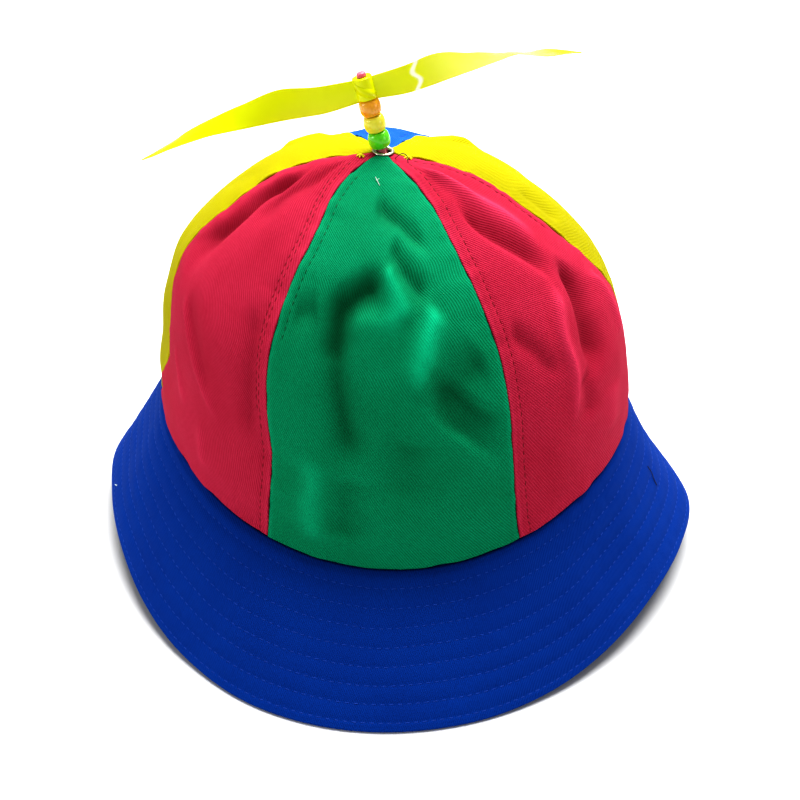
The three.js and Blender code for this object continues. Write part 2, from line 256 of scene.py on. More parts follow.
class Board:
    # A node tree that is filled through one method
    def __init__(self, tree):
        self.tree = tree
        tree.nodes.clear()

    def add(self, kind, settings=None, sockets=None, output=0):
        node = self.tree.nodes.new(kind)
        for key, value in (settings or {}).items():
            if key == "stops":
                self.fillRamp(node.color_ramp, value)
            else:
                setattr(node, key, value)
        for key, value in (sockets or {}).items():
            if isinstance(value, Signal):
                self.tree.links.new(value.socket, node.inputs[key])
            else:
                node.inputs[key].default_value = value
        return Signal(self, node.outputs[output]) if len(node.outputs) else None

    def fillRamp(self, ramp, stops):
        while len(ramp.elements) < len(stops):
            ramp.elements.new(0.5)
        for element, (place, level) in zip(ramp.elements, stops):
            element.position = place
            element.color = (level, level, level, 1)

    def ramp(self, factor, stops):
        return self.add("ShaderNodeValToRGB", {"stops": stops}, {"Fac": factor})

    def colour(self, factor, first, second):
        settings = {"data_type": "RGBA", "clamp_factor": True}
        return self.add("ShaderNodeMix", settings, {0: factor, 6: first, 7: second}, 2)

    def noise(self, vector, scale, detail):
        return self.add("ShaderNodeTexNoise", {}, {"Vector": vector, "Scale": scale, "Detail": detail})

    def scaled(self, vector, factors):
        return self.add("ShaderNodeVectorMath", {"operation": "MULTIPLY"}, {0: vector, 1: factors})

    def vector(self, name):
        # A vector that the mesh carries, in a Geometry Nodes tree
        settings = {"data_type": "FLOAT_VECTOR"}
        return self.add("GeometryNodeInputNamedAttribute", settings, {"Name": name})

    def carried(self, name, output="Fac"):
        # What the mesh carries, in a material
        return self.add("ShaderNodeAttribute", {"attribute_name": name}, {}, output)

    def separated(self, vector):
        return self.add("ShaderNodeSeparateXYZ", {}, {0: vector}, "X")

    def place(self):
        return self.add("ShaderNodeTexCoord", {}, {}, "Object")

    def bump(self, height, depth):
        # depth is the height's full range in millimetres
        sockets = {"Strength": 1.0, "Distance": depth * metre, "Height": height}
        return self.add("ShaderNodeBump", {}, sockets)


def newMaterial(name):
    material = bpy.data.materials.new(name)
    material.use_nodes = True
    return material, Board(material.node_tree)


def closeMaterial(board, sockets):
    surface = board.add("ShaderNodeBsdfPrincipled", {}, sockets)
    board.add("ShaderNodeOutputMaterial", {}, {"Surface": surface})


# Cloth finishes

twill = {
    # Between the diagonal ribs, their depth, and their slant in degrees from straight across
    "crown": {"pitch": 0.86, "depth": 0.13, "slant": -57},
    "brim": {"pitch": 0.72, "depth": 0.1, "slant": -62},
    "yarnPitch": 0.42,
    "yarnStep": 2.1,  # radians from one rib's yarns to the next one's
    "wander": 0.8,  # how far the ribs drift
    "driftScale": 0.04, "slubScale": 1.4, "cloudScale": 0.028,
    "sheen": 0.03, "specular": 0.12,
    # base is the cloth's own colour, valley the one between its ribs, and the last the painted shade deep in
    # a fold
    "colours": {
        "green": {"base": (0, 164, 118), "valley": (0, 118, 76), "hollow": (0, 74, 40)},
        "red": {"base": (208, 60, 94), "valley": (172, 32, 58), "hollow": (124, 18, 38)},
        "yellow": {"base": (184, 178, 0), "valley": (168, 160, 0), "hollow": (142, 131, 0)},
        "blue": {"base": (40, 110, 204), "valley": (20, 82, 180), "hollow": (10, 56, 140)},
        "brimBlue": {"base": (0, 67, 159), "valley": (0, 52, 136), "hollow": (0, 36, 108)},
    },
}


def twillMaterial(name, colours, weaving):
    material, board = newMaterial(name)
    weave = board.carried("weave", "Vector")
    across = board.separated(weave)
    along = across.pick("Y")
    angle = math.radians(weaving["slant"])
    drift = board.noise(weave, twill["driftScale"], 1.0) * twill["wander"]
    overRibs = along * math.cos(angle) - across * math.sin(angle) + drift
    downRib = across * math.cos(angle) + along * math.sin(angle)
    ribWave = (overRibs * (fullTurn / weaving["pitch"])).sine() * 0.5 + 0.5
    yarnTurn = (overRibs / weaving["pitch"]).floor() * twill["yarnStep"]
    yarnWave = (downRib * (fullTurn / twill["yarnPitch"]) + yarnTurn).sine() * 0.5 + 0.5
    height = ribWave * 0.75 + ribWave * yarnWave * 0.25

    slubs = board.noise(board.scaled(weave, (0.35, 0.35, 1)), twill["slubScale"], 3.0)
    clouds = board.noise(weave, twill["cloudScale"], 3.0)
    valley = linear(*colours["valley"])
    # pale is the colour of worn seam edges, of the paler hem and of the painted highlight on fold ridges
    pale = linear(*[min(value * 1.12 + 6, 255) for value in colours["base"]])
    shown = board.colour(height * 0.75 + slubs * 0.3, valley, linear(*colours["base"]))
    shown = board.colour((clouds - 0.42) * 1.6, shown, valley)
    # painted shade: the cloth is darkened towards the bottoms of the folds
    shown = board.colour(board.carried("hollow"), shown, linear(*colours["hollow"]))
    closeMaterial(board, {
        "Base Color": board.colour(board.carried("wear"), shown, pale),
        "Roughness": 0.92 - ribWave * 0.1,
        "Specular IOR Level": twill["specular"],
        "Sheen Weight": twill["sheen"],
        "Sheen Roughness": 0.5,
        "Sheen Tint": pale,
        "Normal": board.bump(height + slubs * 0.25, weaving["depth"]),
    })
    return material


def threadMaterial(name, colour, dark):
    material, board = newMaterial(name)
    place = board.place()
    fuzz = board.noise(place, 2600.0, 2.0)
    closeMaterial(board, {
        "Base Color": board.colour(fuzz, linear(*dark), linear(*colour)),
        "Roughness": 0.75 - fuzz * 0.15,
        "Specular IOR Level": 0.35,
        "Normal": board.bump(fuzz, 0.05),
    })
    return material


cloths = {
    key: twillMaterial(key + "Twill", row, twill["brim" if key == "brimBlue" else "crown"])
    for key, row in twill["colours"].items()
}
threadColours = {
    "green": ((0, 108, 66), (0, 78, 46)),
    "red": ((150, 18, 42), (108, 4, 24)),
    "yellow": ((252, 244, 40), (232, 214, 0)),
    "blue": ((40, 96, 214), (14, 50, 150)),
    "brimBlue": ((22, 82, 182), (4, 52, 144)),
    "white": ((236, 246, 240), (190, 214, 202)),
    "dark": ((52, 48, 62), (20, 18, 26)),
}
threads = {key: threadMaterial(key + "Thread", *colours) for key, colours in threadColours.items()}
print("cloth and thread finishes made")


# Crown

crown = {
    "headWidth": 184.6, "headFront": 90, "headBack": 91.5,
    "seamHeight": 47.4, "seamSaddle": 10.4, "crownRise": 110.8,
    "topShiftX": -8.7, "topShiftY": -1.8, "topRadius": 3.6,
    "gorePuff": 1.5,
    "foldFade": 0.1,  # share of a gore over which its folds die away towards its edges
    "foldSharp": 1.7,  # 2 is a soft fold, 1 a sharp one
    "foldDrift": 1.4, "driftLength": 12,  # how far the folds wander, and over what length
    "middle": (-4.004, 6.18, 0),  # the crown's own middle on the floor
    "clothWall": 0.9,
    "seamRoll": 0.35,  # radius of the cloth turned in at a seam
    "hemRoll": 1.1,  # and at the brim
    "seamGap": 0.1, "gapReach": 1.5,  # between two gores, and how far from the seam it is felt
    "seamWear": 0.2,  # how pale the cloth's edges are
    "lip": 0.8, "lipHeight": 5,  # how far the lower edge stands out over the brim
    "allowance": 0.15,  # rise of the band with the seam allowance under it
    "grooveDepth": 0.3, "grooveWidth": 0.8,
    "puckerHeight": 0.42, "puckerLength": 6.5, "puckerReach": 9, "hemReach": 7,
    "wrinkle": 0.6,
    # the depth at which a fold's painted shade is darkest, and how dark that painted shade is
    "hollowDepth": 6, "hollowShade": 0.75,  # the depth at which a fold is darkest, and how dark it is
    # the height of a ridge whose painted highlight is as pale as it gets
    "crestHeight": 3.5,  # of a ridge that is as pale as it gets
    "columns": 96, "rows": 132, "columnCrowding": 0.85, "rowCrowding": 0.5,
    "seed": 20,
}

# Sections from the brim seam up: rise, then the reach left, right, front and back as shares of the seam's
crownSections = [
    (0, 1, 1, 1, 1),
    (0.12, 1.002, 0.989, 0.999, 0.998),
    (0.26, 0.972, 0.964, 0.979, 0.981),
    (0.41, 0.95, 0.927, 0.94, 0.942),
    (0.56, 0.888, 0.857, 0.868, 0.873),
    (0.7, 0.742, 0.737, 0.754, 0.769),
    (0.82, 0.576, 0.592, 0.604, 0.633),
    (0.91, 0.416, 0.429, 0.421, 0.459),
    (0.97, 0.23, 0.235, 0.22, 0.245),
]

# Each gore's left seam, as azimuths in degrees from the front towards +X at even steps up the crown, its
# cloth, and its rows of stitches as (side, millimetres from that seam, from and to as shares up it)
gores = {
    "panel_yellow_left": {
        "azimuths": (-138, -140, -142, -144, -145.5, -147, -147.5, -148, -147),
        "cloth": "yellow",
        "stitches": [("left", 3.6, 0.01, 0.97)],
    },
    "panel_red_left": {
        "azimuths": (-77, -73, -68, -71, -80, -82, -84.5, -82.5, -77),
        "cloth": "red",
        "stitches": [("right", 3.6, 0.01, 0.93), ("right", 5.1, 0.3, 0.86)],
    },
    "panel_green_front": {
        "azimuths": (-24.3, -24.1, -24, -26, -27.7, -28.8, -28.5, -33.5, -37),
        "cloth": "green",
        "stitches": [("left", 3.5, 0.52, 0.97)],
    },
    "panel_red_right": {
        "azimuths": (34.7, 33.5, 33.2, 33.5, 34.4, 34.2, 34, 35.5, 35),
        "cloth": "red",
        "stitches": [("left", 4.4, 0.01, 0.97), ("right", 3.1, 0.62, 0.97)],
    },
    "panel_yellow_right": {
        "azimuths": (91.5, 92.5, 93.5, 93, 88.5, 84.5, 84.5, 90, 88),
        "cloth": "yellow",
        "stitches": [("right", 3.6, 0.01, 0.97)],
    },
    "panel_blue_back": {
        "azimuths": (150, 153, 156.5, 160, 162.5, 164, 163, 160, 153),
        "cloth": "blue",
        "stitches": [("left", 3.6, 0.01, 0.97), ("right", 3.6, 0.01, 0.97)],
    },
}

# Folds of the slack cloth: points as shares across and up a gore, then width and depth in millimetres, and
# lean. A depth below 0 is a ridge, and a lean above 0 widens the side on the left of the fold's run.
folds = {
    "panel_green_front": [
        (((0.54, 0.665), (0.42, 0.645), (0.31, 0.6), (0.27, 0.54), (0.28, 0.48)), 6.2, 6, 0.25),
        (((0.27, 0.56), (0.3, 0.46), (0.32, 0.38), (0.38, 0.27)), 6.4, 4.4, 0),
        (((0.56, 0.74), (0.65, 0.67), (0.74, 0.6)), 4.2, 2.6, 0.1),
        (((0.34, 0.58), (0.48, 0.585), (0.62, 0.58)), 4.4, -1.4, 0),
        (((0.53, 0.7), (0.57, 0.64), (0.61, 0.57)), 4, -1.8, 0),
        (((0.78, 0.6), (0.7, 0.53), (0.59, 0.43)), 4.6, -3.4, 0),
        (((0.94, 0.5), (0.8, 0.46), (0.66, 0.4)), 7, 2.6, 0),
        (((0.86, 0.42), (0.76, 0.34)), 15, 3.4, 0),
        (((0.6, 0.36), (0.56, 0.2)), 9, 1.6, 0),
        (((0.44, 0.84), (0.64, 0.785), (0.84, 0.72)), 5.4, 2.8, 0.1),
        (((0.58, 0.765), (0.82, 0.7)), 5, -1, 0),
        (((0.2, 0.585), (0.05, 0.55)), 6, 2.2, 0),
        (((0.2, 0.3), (0.18, 0.18), (0.21, 0.03)), 5, -1.6, 0),
        (((0.33, 0.27), (0.31, 0.08)), 7, 2.2, 0.2),
    ],
    "panel_red_left": [
        (((0.36, 0.84), (0.22, 0.745), (0.22, 0.605), (0.09, 0.5)), 7, 4.4, 0.2),
        (((0.28, 0.46), (0.36, 0.4), (0.47, 0.33), (0.66, 0.25)), 2.2, -1.1, 0.2),
        (((0.34, 0.46), (0.5, 0.36), (0.62, 0.3)), 6, 1.2, 0),
        (((0.16, 0.32), (0.25, 0.25), (0.38, 0.19)), 2.2, -0.8, 0),
        (((0.5, 0.2), (0.62, 0.08)), 3, -0.7, 0),
        (((0.66, 0.88), (0.5, 0.8), (0.44, 0.66)), 9, 2.2, 0),
        (((0.86, 0.56), (0.9, 0.4), (0.86, 0.24)), 5, 1.6, 0),
    ],
    "panel_red_right": [
        (((0.22, 0.78), (0.38, 0.7), (0.51, 0.63), (0.54, 0.55)), 5, 3.2, 0.35),
        (((0.34, 0.93), (0.5, 0.79), (0.74, 0.64)), 6.5, -3, 0),
        (((0.74, 0.58), (0.66, 0.51), (0.52, 0.41), (0.46, 0.3)), 6.5, 5, 0),
        (((0.86, 0.52), (0.83, 0.44), (0.78, 0.3)), 3.4, -1.6, 0),
        (((0.5, 0.57), (0.36, 0.47), (0.33, 0.38), (0.3, 0.24)), 3, -1.9, 0.2),
        (((0.1, 0.52), (0.2, 0.45), (0.25, 0.38)), 4.5, 2, 0),
        (((0.42, 0.36), (0.4, 0.22)), 5, 1.8, 0),
        (((0.6, 0.26), (0.56, 0.12)), 7, -0.8, 0),
    ],
    "panel_yellow_left": [
        (((0.46, 0.7), (0.34, 0.755), (0.16, 0.8)), 7, -1.6, 0),
        (((0.35, 0.5), (0.5, 0.3)), 9, 1.8, 0),
    ],
    "panel_yellow_right": [
        (((0.66, 0.78), (0.9, 0.75)), 8, -2.4, 0),
        (((0.14, 0.72), (0.1, 0.6)), 4.5, 1.2, 0),
        (((0.56, 0.66), (0.5, 0.5), (0.42, 0.36)), 7, 2, 0),
    ],
    "panel_blue_back": [
        (((0.35, 0.74), (0.45, 0.6), (0.56, 0.44)), 8, 2.4, 0.2),
        (((0.7, 0.46), (0.64, 0.18)), 7, 1.8, 0),
    ],
}

goreNames = list(gores)
goreArc = math.pi * crown["headWidth"] / len(gores)
goreLength = crown["crownRise"] + crown["headWidth"] / 4


def reachOf(column, size, up):
    values = [row[column] * size for row in crownSections] + [crown["topRadius"]]
    return between(values, up)


def seamLevel(azimuth):
    return crown["seamHeight"] - crown["seamSaddle"] * np.cos(2 * azimuth)


def crownPoint(azimuth, up):
    # The crown's bare surface. up goes from 0 at the brim seam to 1 at the eyelet.
    rise = between([row[0] for row in crownSections] + [1], up)
    across, along = np.sin(azimuth), np.cos(azimuth)
    halfWidth = crown["headWidth"] / 2
    sideReach = np.where(across < 0, reachOf(1, halfWidth, up), reachOf(2, halfWidth, up))
    frontReach = np.where(along > 0, reachOf(3, crown["headFront"], up), reachOf(4, crown["headBack"], up))
    level = seamLevel(azimuth) * (1 - rise) + crown["seamHeight"] * rise
    return np.stack([
        crown["topShiftX"] * rise ** 2 + sideReach * across + crown["middle"][0],
        crown["topShiftY"] * rise ** 2 - frontReach * along + crown["middle"][1],
        level + crown["crownRise"] * rise,
    ], -1)


def unit(vectors):
    return vectors / np.maximum(np.linalg.norm(vectors, axis=-1, keepdims=True), 1e-9)


def crownNormal(azimuth, up):
    step = 0.01
    sideways = crownPoint(azimuth + step, up) - crownPoint(azimuth - step, up)
    rising = crownPoint(azimuth, np.minimum(up + step, 1)) - crownPoint(azimuth, np.maximum(up - step, 0))
    return unit(np.cross(sideways, rising))


def foldShape(x, y, points, width, lean):
    # The share of a fold's depth at places in millimetres across and up a gore
    shares = np.linspace(0, 1, 4 * len(points))
    line = [between([point[axis] for point in points], shares) for axis in range(2)]
    line = np.stack([line[0] * goreArc, line[1] * goreLength], -1)
    lengths = np.linalg.norm(np.diff(line, axis=0), axis=1)
    nearest = np.full(np.shape(x), 1e6)
    leftOf, run = 0 * nearest, 0 * nearest
    for start, end, length, before in zip(line, line[1:], lengths, np.cumsum(lengths) - lengths):
        way = (end - start) / length
        ahead = np.clip((x - start[0]) * way[0] + (y - start[1]) * way[1], 0, length)
        offX, offY = x - start[0] - ahead * way[0], y - start[1] - ahead * way[1]
        distance = np.hypot(offX, offY)
        closer = distance < nearest
        leftOf = np.where(closer, np.sign(way[0] * offY - way[1] * offX), leftOf)
        run = np.where(closer, (before + ahead) / lengths.sum(), run)
        nearest = np.minimum(nearest, distance)
    ends = smoothRamp(run, 0, 0.2) * smoothRamp(1 - run, 0, 0.3)
    return ends * np.exp(-(nearest / (width * (1 + lean * leftOf))) ** crown["foldSharp"])


def foldDepth(name, across, up):
    # How deep a gore's main folds are
    nearSeam = np.minimum(np.minimum(across, 1 - across), np.minimum(up, 1 - up))
    fade = smoothRamp(nearSeam, 0, crown["foldFade"])
    x, y = across * goreArc, up * goreLength
    length = crown["driftLength"]
    driftX, driftY = (crown["foldDrift"] * softNoise(x / length, y / length, seed) for seed in (3, 4))
    fold = 0
    for points, width, depth, lean in folds[name]:
        fold = fold + depth * foldShape(x + driftX, y + driftY, points, width, lean)
    return fade * fold


def standOff(across, up):
    # How far a gore's puff stands off the bare crown between the seams
    return crown["gorePuff"] * np.sin(math.pi * across) * np.sqrt(np.maximum(np.sin(math.pi * up), 0))


def rollDrop(distance, radius):
    # How far a rolled edge has dropped at a distance from its end
    inside = np.clip(radius - distance, 0, radius)
    return radius - np.sqrt(radius ** 2 - inside ** 2)


def clothDetail(name, left, right, low, goreIndex):
    # Seams, stitched grooves, puckers and wrinkles. left, right and low are distances from the gore's edges.
    near = np.minimum(left, right)
    rise = -rollDrop(near, crown["seamRoll"]) - rollDrop(low, crown["hemRoll"])
    rise = rise + crown["lip"] * np.exp(-(low / crown["lipHeight"]) ** 2)
    for side, offset, lowest, highest in gores[name]["stitches"]:
        distance = left if side == "left" else right
        share = low / goreLength
        shown = smoothRamp(share, lowest - 0.02, lowest) * (1 - smoothRamp(share, highest, highest + 0.02))
        groove = np.exp(-((distance - offset) / crown["grooveWidth"]) ** 2)
        rise = rise - shown * crown["grooveDepth"] * groove
        if offset < 5:  # the row nearest the seam
            rise = rise + shown * crown["allowance"] * (1 - smoothRamp(distance, offset - 0.4, offset + 1))
    seed = crown["seed"] + goreIndex
    length = crown["puckerLength"]
    for side, distance in enumerate((left, right)):
        ripple = softNoise(low / length, distance / 30 + 7 * side, seed + 10 * side)
        fine = softNoise(low / (0.45 * length), distance / 12 + 3 * side, seed + 30 + 10 * side)
        nearness = np.exp(-(distance / crown["puckerReach"]) ** 2)
        rise = rise + crown["puckerHeight"] * (ripple + 0.5 * fine) * nearness
    hem = softNoise(left / length, low / 20, seed + 50)
    rise = rise + crown["puckerHeight"] * hem * np.exp(-(low / crown["hemReach"]) ** 2)
    middle = smoothRamp(near, 2, 14) * smoothRamp(low, 2, 12)  # the wrinkles stay off the edges
    broad = softNoise(left / 17, low / 34, seed + 60)
    small = softNoise(left / 8 + low / 40, low / 19, seed + 70)
    return rise + middle * crown["wrinkle"] * (broad + 0.45 * small)


def rowLengths(points, axis):
    # Distance along each row or column of a grid, from its start
    steps = np.linalg.norm(np.diff(points, axis=axis), axis=-1)
    shape = list(steps.shape)
    shape[axis] = 1
    return np.concatenate([np.zeros(shape), np.cumsum(steps, axis=axis)], axis=axis)


def goreSeams(name, up):
    # The azimuths of a gore's own seam and of the next one, at shares up the crown
    index = goreNames.index(name)
    following = gores[goreNames[(index + 1) % len(goreNames)]]["azimuths"]
    start, end = between(gores[name]["azimuths"], up), between(following, up)
    wrap = 360 if following[0] < gores[name]["azimuths"][0] else 0
    return np.radians(start), np.radians(end + wrap)


def makeGore(name):
    index = goreNames.index(name)
    columnShares = spread(crown["columns"], crown["columnCrowding"])
    across, up = np.meshgrid(columnShares, spread(crown["rows"], crown["rowCrowding"]))
    start, end = goreSeams(name, up)
    azimuth = start + (end - start) * across
    normal = crownNormal(azimuth, up)
    fold = foldDepth(name, across, up)
    bare = crownPoint(azimuth, up) + normal * (standOff(across, up) - fold)[..., None]
    left = rowLengths(bare, 1)
    right = left[:, -1:] - left
    middleColumn = bare.shape[1] // 2
    low = np.repeat(rowLengths(bare, 0)[:, middleColumn:middleColumn + 1], bare.shape[1], 1)
    outer = bare + normal * clothDetail(name, left, right, low, index)[..., None]
    closeUp = np.exp(-left / crown["gapReach"]) - np.exp(-right / crown["gapReach"])
    outer = outer + bearings(azimuth)[1] * (closeUp * crown["seamGap"] / 2)[..., None]
    inner = outer - normal * crown["clothWall"]

    rows, columns = across.shape
    count = rows * columns
    faces = gridFaces(rows, columns) + gridFaces(rows, columns, count, flip=True)
    rim = [row * columns for row in range(rows)][::-1] + list(range(1, columns))
    rim += [row * columns + columns - 1 for row in range(1, rows)]
    rim += [(rows - 1) * columns + column for column in range(columns - 2, 0, -1)]
    for first, second in zip(rim, rim[1:] + rim[:1]):
        faces.append([second, first, first + count, second + count])
    points = np.concatenate([outer.reshape(-1, 3), inner.reshape(-1, 3)])
    cloth = gores[name]["cloth"]
    piece = makeObject(name.replace("panel", "gore"), points, faces, cloths[cloth])
    weave = np.stack([left - left[:, -1:] / 2, low, 0 * low], -1).reshape(-1, 3)
    addAttribute(piece, "weave", "FLOAT_VECTOR", np.concatenate([weave, weave]))
    paleness = crown["seamWear"] * np.exp(-((np.minimum(left, right) - 0.9) / 0.8) ** 2).ravel()
    # painted highlight: the crests of the ridges are made paler, on top of the worn seam edges
    paleness = paleness + np.clip(-fold / crown["crestHeight"], 0, 1).ravel()
    addAttribute(piece, "wear", "FLOAT", np.concatenate([paleness, 0 * paleness]))
    # painted shade, darkest at the bottom of a deep fold
    hollow = crown["hollowShade"] * np.clip(fold / crown["hollowDepth"], 0, 1).ravel()
    addAttribute(piece, "hollow", "FLOAT", np.concatenate([hollow, 0 * hollow]))
    return piece, {"points": outer, "normals": normal, "left": left, "right": right, "low": low}


def pathOnGore(grid, side, offset, lowest, highest):
    # The points and normals of a line that keeps its distance from a seam
    points, normals = [], []
    for row in range(len(grid["points"])):
        share = grid["low"][row, 0] / goreLength
        width = grid["left"][row, -1]
        if not lowest <= share <= highest or width < 2.2 * offset:
            continue
        place = offset if side == "left" else width - offset
        along = grid["left"][row]
        points.append([np.interp(place, along, grid["points"][row, :, axis]) for axis in range(3)])
        normals.append([np.interp(place, along, grid["normals"][row, :, axis]) for axis in range(3)])
    return np.array(points), unit(np.array(normals))


# Stitches

stitch = {
    "pitch": 3.0, "length": 2.3, "width": 0.36, "height": 0.28,
    "sink": 0.02,  # how far a stitch's middle lies over the cloth
    "wobble": 0.1,  # radians
    "shortest": 0.82, "longest": 1.08,  # shares of the length and height
    "seed": 5,
}


def treeInputs(tree, sockets):
    # Named inputs of a Geometry Nodes tree, as {name: identifier}
    found = {}
    for name, kind in sockets.items():
        found[name] = tree.interface.new_socket(name, in_out="INPUT", socket_type=kind).identifier
    tree.interface.new_socket("Geometry", in_out="OUTPUT", socket_type="NodeSocketGeometry")
    return found


def stitchTree():
    tree = bpy.data.node_groups.new("stitches", "GeometryNodeTree")
    sizes = {key: "NodeSocketFloat" for key in ("Pitch", "Length", "Width", "Height", "Wobble")}
    keys = treeInputs(tree, {
        "Geometry": "NodeSocketGeometry", **sizes, "Seed": "NodeSocketInt", "Thread": "NodeSocketMaterial",
    })
    board = Board(tree)
    given = board.add("NodeGroupInput")
    line = board.add("GeometryNodeMeshToCurve", {}, {"Mesh": given})
    spaced = board.add("GeometryNodeResampleCurve", {"mode": "LENGTH"}, {
        "Curve": line, "Length": given.pick("Pitch"),
    })
    normal = board.vector("surfaceNormal")
    tangent = board.add("GeometryNodeInputTangent")
    facing = board.add("FunctionNodeAxesToRotation", {"primary_axis": "Z", "secondary_axis": "X"}, {
        "Primary Axis": normal, "Secondary Axis": tangent,
    })
    turn = board.add("FunctionNodeRandomValue", {"data_type": "FLOAT"}, {
        2: -1.0, 3: 1.0, "Seed": given.pick("Seed"),
    }, 1)
    lean = board.add("ShaderNodeCombineXYZ", {}, {"Z": turn * given.pick("Wobble")})
    leaning = board.add("FunctionNodeEulerToRotation", {}, {0: lean})
    facing = board.add("FunctionNodeRotateRotation", {"rotation_space": "LOCAL"}, {0: facing, 1: leaning})
    bead = board.add("GeometryNodeMeshUVSphere", {}, {"Segments": 6, "Rings": 5, "Radius": 0.5})
    vary = board.add("FunctionNodeRandomValue", {"data_type": "FLOAT"}, {
        2: stitch["shortest"], 3: stitch["longest"],
        "Seed": given.pick("Seed"), "ID": board.add("GeometryNodeInputIndex"),
    }, 1)
    size = board.add("ShaderNodeCombineXYZ", {}, {
        "X": given.pick("Length") * vary, "Y": given.pick("Width"), "Z": given.pick("Height") * vary,
    })
    placed = board.add("GeometryNodeInstanceOnPoints", {}, {
        "Points": spaced, "Instance": bead, "Rotation": facing, "Scale": size,
    })
    solid = board.add("GeometryNodeRealizeInstances", {}, {"Geometry": placed})
    smooth = board.add("GeometryNodeSetShadeSmooth", {}, {"Geometry": solid})
    painted = board.add("GeometryNodeSetMaterial", {}, {"Geometry": smooth, "Material": given.pick("Thread")})
    board.add("NodeGroupOutput", {}, {"Geometry": painted})
    return tree, keys


def solidify(piece, tree, keys, values):
    # Runs a Geometry Nodes tree on a piece and keeps the result as its plain mesh
    modifier = piece.modifiers.new("shape", "NODES")
    modifier.node_group = tree
    for name, value in values.items():
        modifier[keys[name]] = value
    bpy.context.view_layer.update()
    evaluated = piece.evaluated_get(bpy.context.evaluated_depsgraph_get())
    made = bpy.data.meshes.new_from_object(evaluated)
    piece.modifiers.remove(modifier)
    piece.data = made
    return piece


stitches, stitchKeys = stitchTree()


def makeStitches(name, lines, thread, **changes):
    # lines are (points, normals) in millimetres. A closed line's first point comes again at its end.
    row = {**stitch, **changes}
    points = np.concatenate([line[0] + line[1] * row["sink"] for line in lines])
    normals = np.concatenate([line[1] for line in lines])
    edges, start = [], 0
    for line in lines:
        edges += [(start + step, start + step + 1) for step in range(len(line[0]) - 1)]
        start += len(line[0])
    mesh = bpy.data.meshes.new(name)
    mesh.from_pydata((points * metre).tolist(), edges, [])
    piece = addObject(name, mesh)
    addAttribute(piece, "surfaceNormal", "FLOAT_VECTOR", normals)
    return solidify(piece, stitches, stitchKeys, {
        "Pitch": row["pitch"] * metre, "Length": row["length"] * metre, "Width": row["width"] * metre,
        "Height": row["height"] * metre, "Wobble": row["wobble"], "Seed": row["seed"],
        "Thread": threads[thread],
    })


goreGrids = {}
for name in goreNames:
    piece, goreGrids[name] = makeGore(name)
    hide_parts(name)
    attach(piece, "hat")
    lines = [pathOnGore(goreGrids[name], *line) for line in gores[name]["stitches"]]
    cloth = gores[name]["cloth"]
    sewn = makeStitches(name.replace("panel", "stitches"), lines, cloth)
    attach(sewn, "hat")
print("gores made:", len(goreNames))


# Brim

brim = {
    "run": 30.8, "wall": 1.7, "sideLift": 10.3, "flatShare": 0.08,
    "frontBulge": 1.5, "sideHollow": 1.9,
    # Reach of the edge as shares of run, at even steps from the front round towards +X
    "reach": [
        1.43, 1.36, 1.22, 1.08, 0.99, 1, 1.05, 0.84, 0.82, 0.85, 0.91, 0.96,
        0.98, 0.96, 0.88, 0.77, 0.67, 0.65, 0.79, 0.75, 0.8, 0.95, 1.16, 1.37,
    ],
    "stitchRows": 8, "firstRow": 0.07, "lastRow": 0.885,  # shares up the brim
    "puff": 0.4, "pucker": 0.2, "puckerLength": 7,
    "waveHeight": 0.8, "waves": 27,  # slow waves of the cloth, and how many fit round the brim
    "seamDrop": 0.3,  # how far its top is under the crown's edge
    "topRoll": 1.2, "tuckUp": 3.4, "tuckIn": 0.6, "tuckFront": 2.4, "tuckBack": 3.6,  # of its hidden top edge
    "hemPaleness": 0.4, "weaveRadius": 88,
    "hemDrop": 0.45, "hemDraw": 0.9,  # how much lower and further in the rounded hem ends than the edge line
    "columns": 720, "rowSteps": 9, "innerRows": 12, "hemSteps": 8,
}


def edgePoint(azimuth):
    reach = brim["run"] * around(brim["reach"], azimuth / fullTurn)
    length = np.where(np.cos(azimuth) > 0, crown["headFront"], crown["headBack"])
    lift = brim["sideLift"] * smoothRamp(np.sin(azimuth) ** 2, brim["flatShare"], 1)
    return np.stack([
        (crown["headWidth"] / 2 + reach) * np.sin(azimuth) + crown["middle"][0],
        -(length + reach) * np.cos(azimuth) + crown["middle"][1],
        lift,
    ], -1)


def brimFrame(azimuth):
    # The seam and edge points, and the unit vectors down the slope and out of it
    seam = crownPoint(azimuth, 0 * azimuth) - [0, 0, brim["seamDrop"]]
    outward, onward = bearings(azimuth)
    edge = edgePoint(azimuth) + outward * brim["hemDraw"] + [0, 0, brim["hemDrop"]]
    downhill = unit(edge - seam)
    return seam, edge, downhill, unit(np.cross(downhill, onward)), outward


def brimPoint(azimuth, up):
    seam, edge, _, _, outward = brimFrame(azimuth)
    share = np.asarray(up)[..., None]
    point = edge * (1 - share) + seam * share
    wave = softNoise(azimuth / fullTurn * brim["waves"], up * 2.2 + 3, 91)
    wave = brim["waveHeight"] * wave * np.sin(math.pi * up)
    side = np.sin(azimuth) ** 2
    bulge = brim["frontBulge"] * (1 - side) - brim["sideHollow"] * side
    lift = bulge * np.sin(math.pi * up) + wave
    return point + outward * lift[..., None]


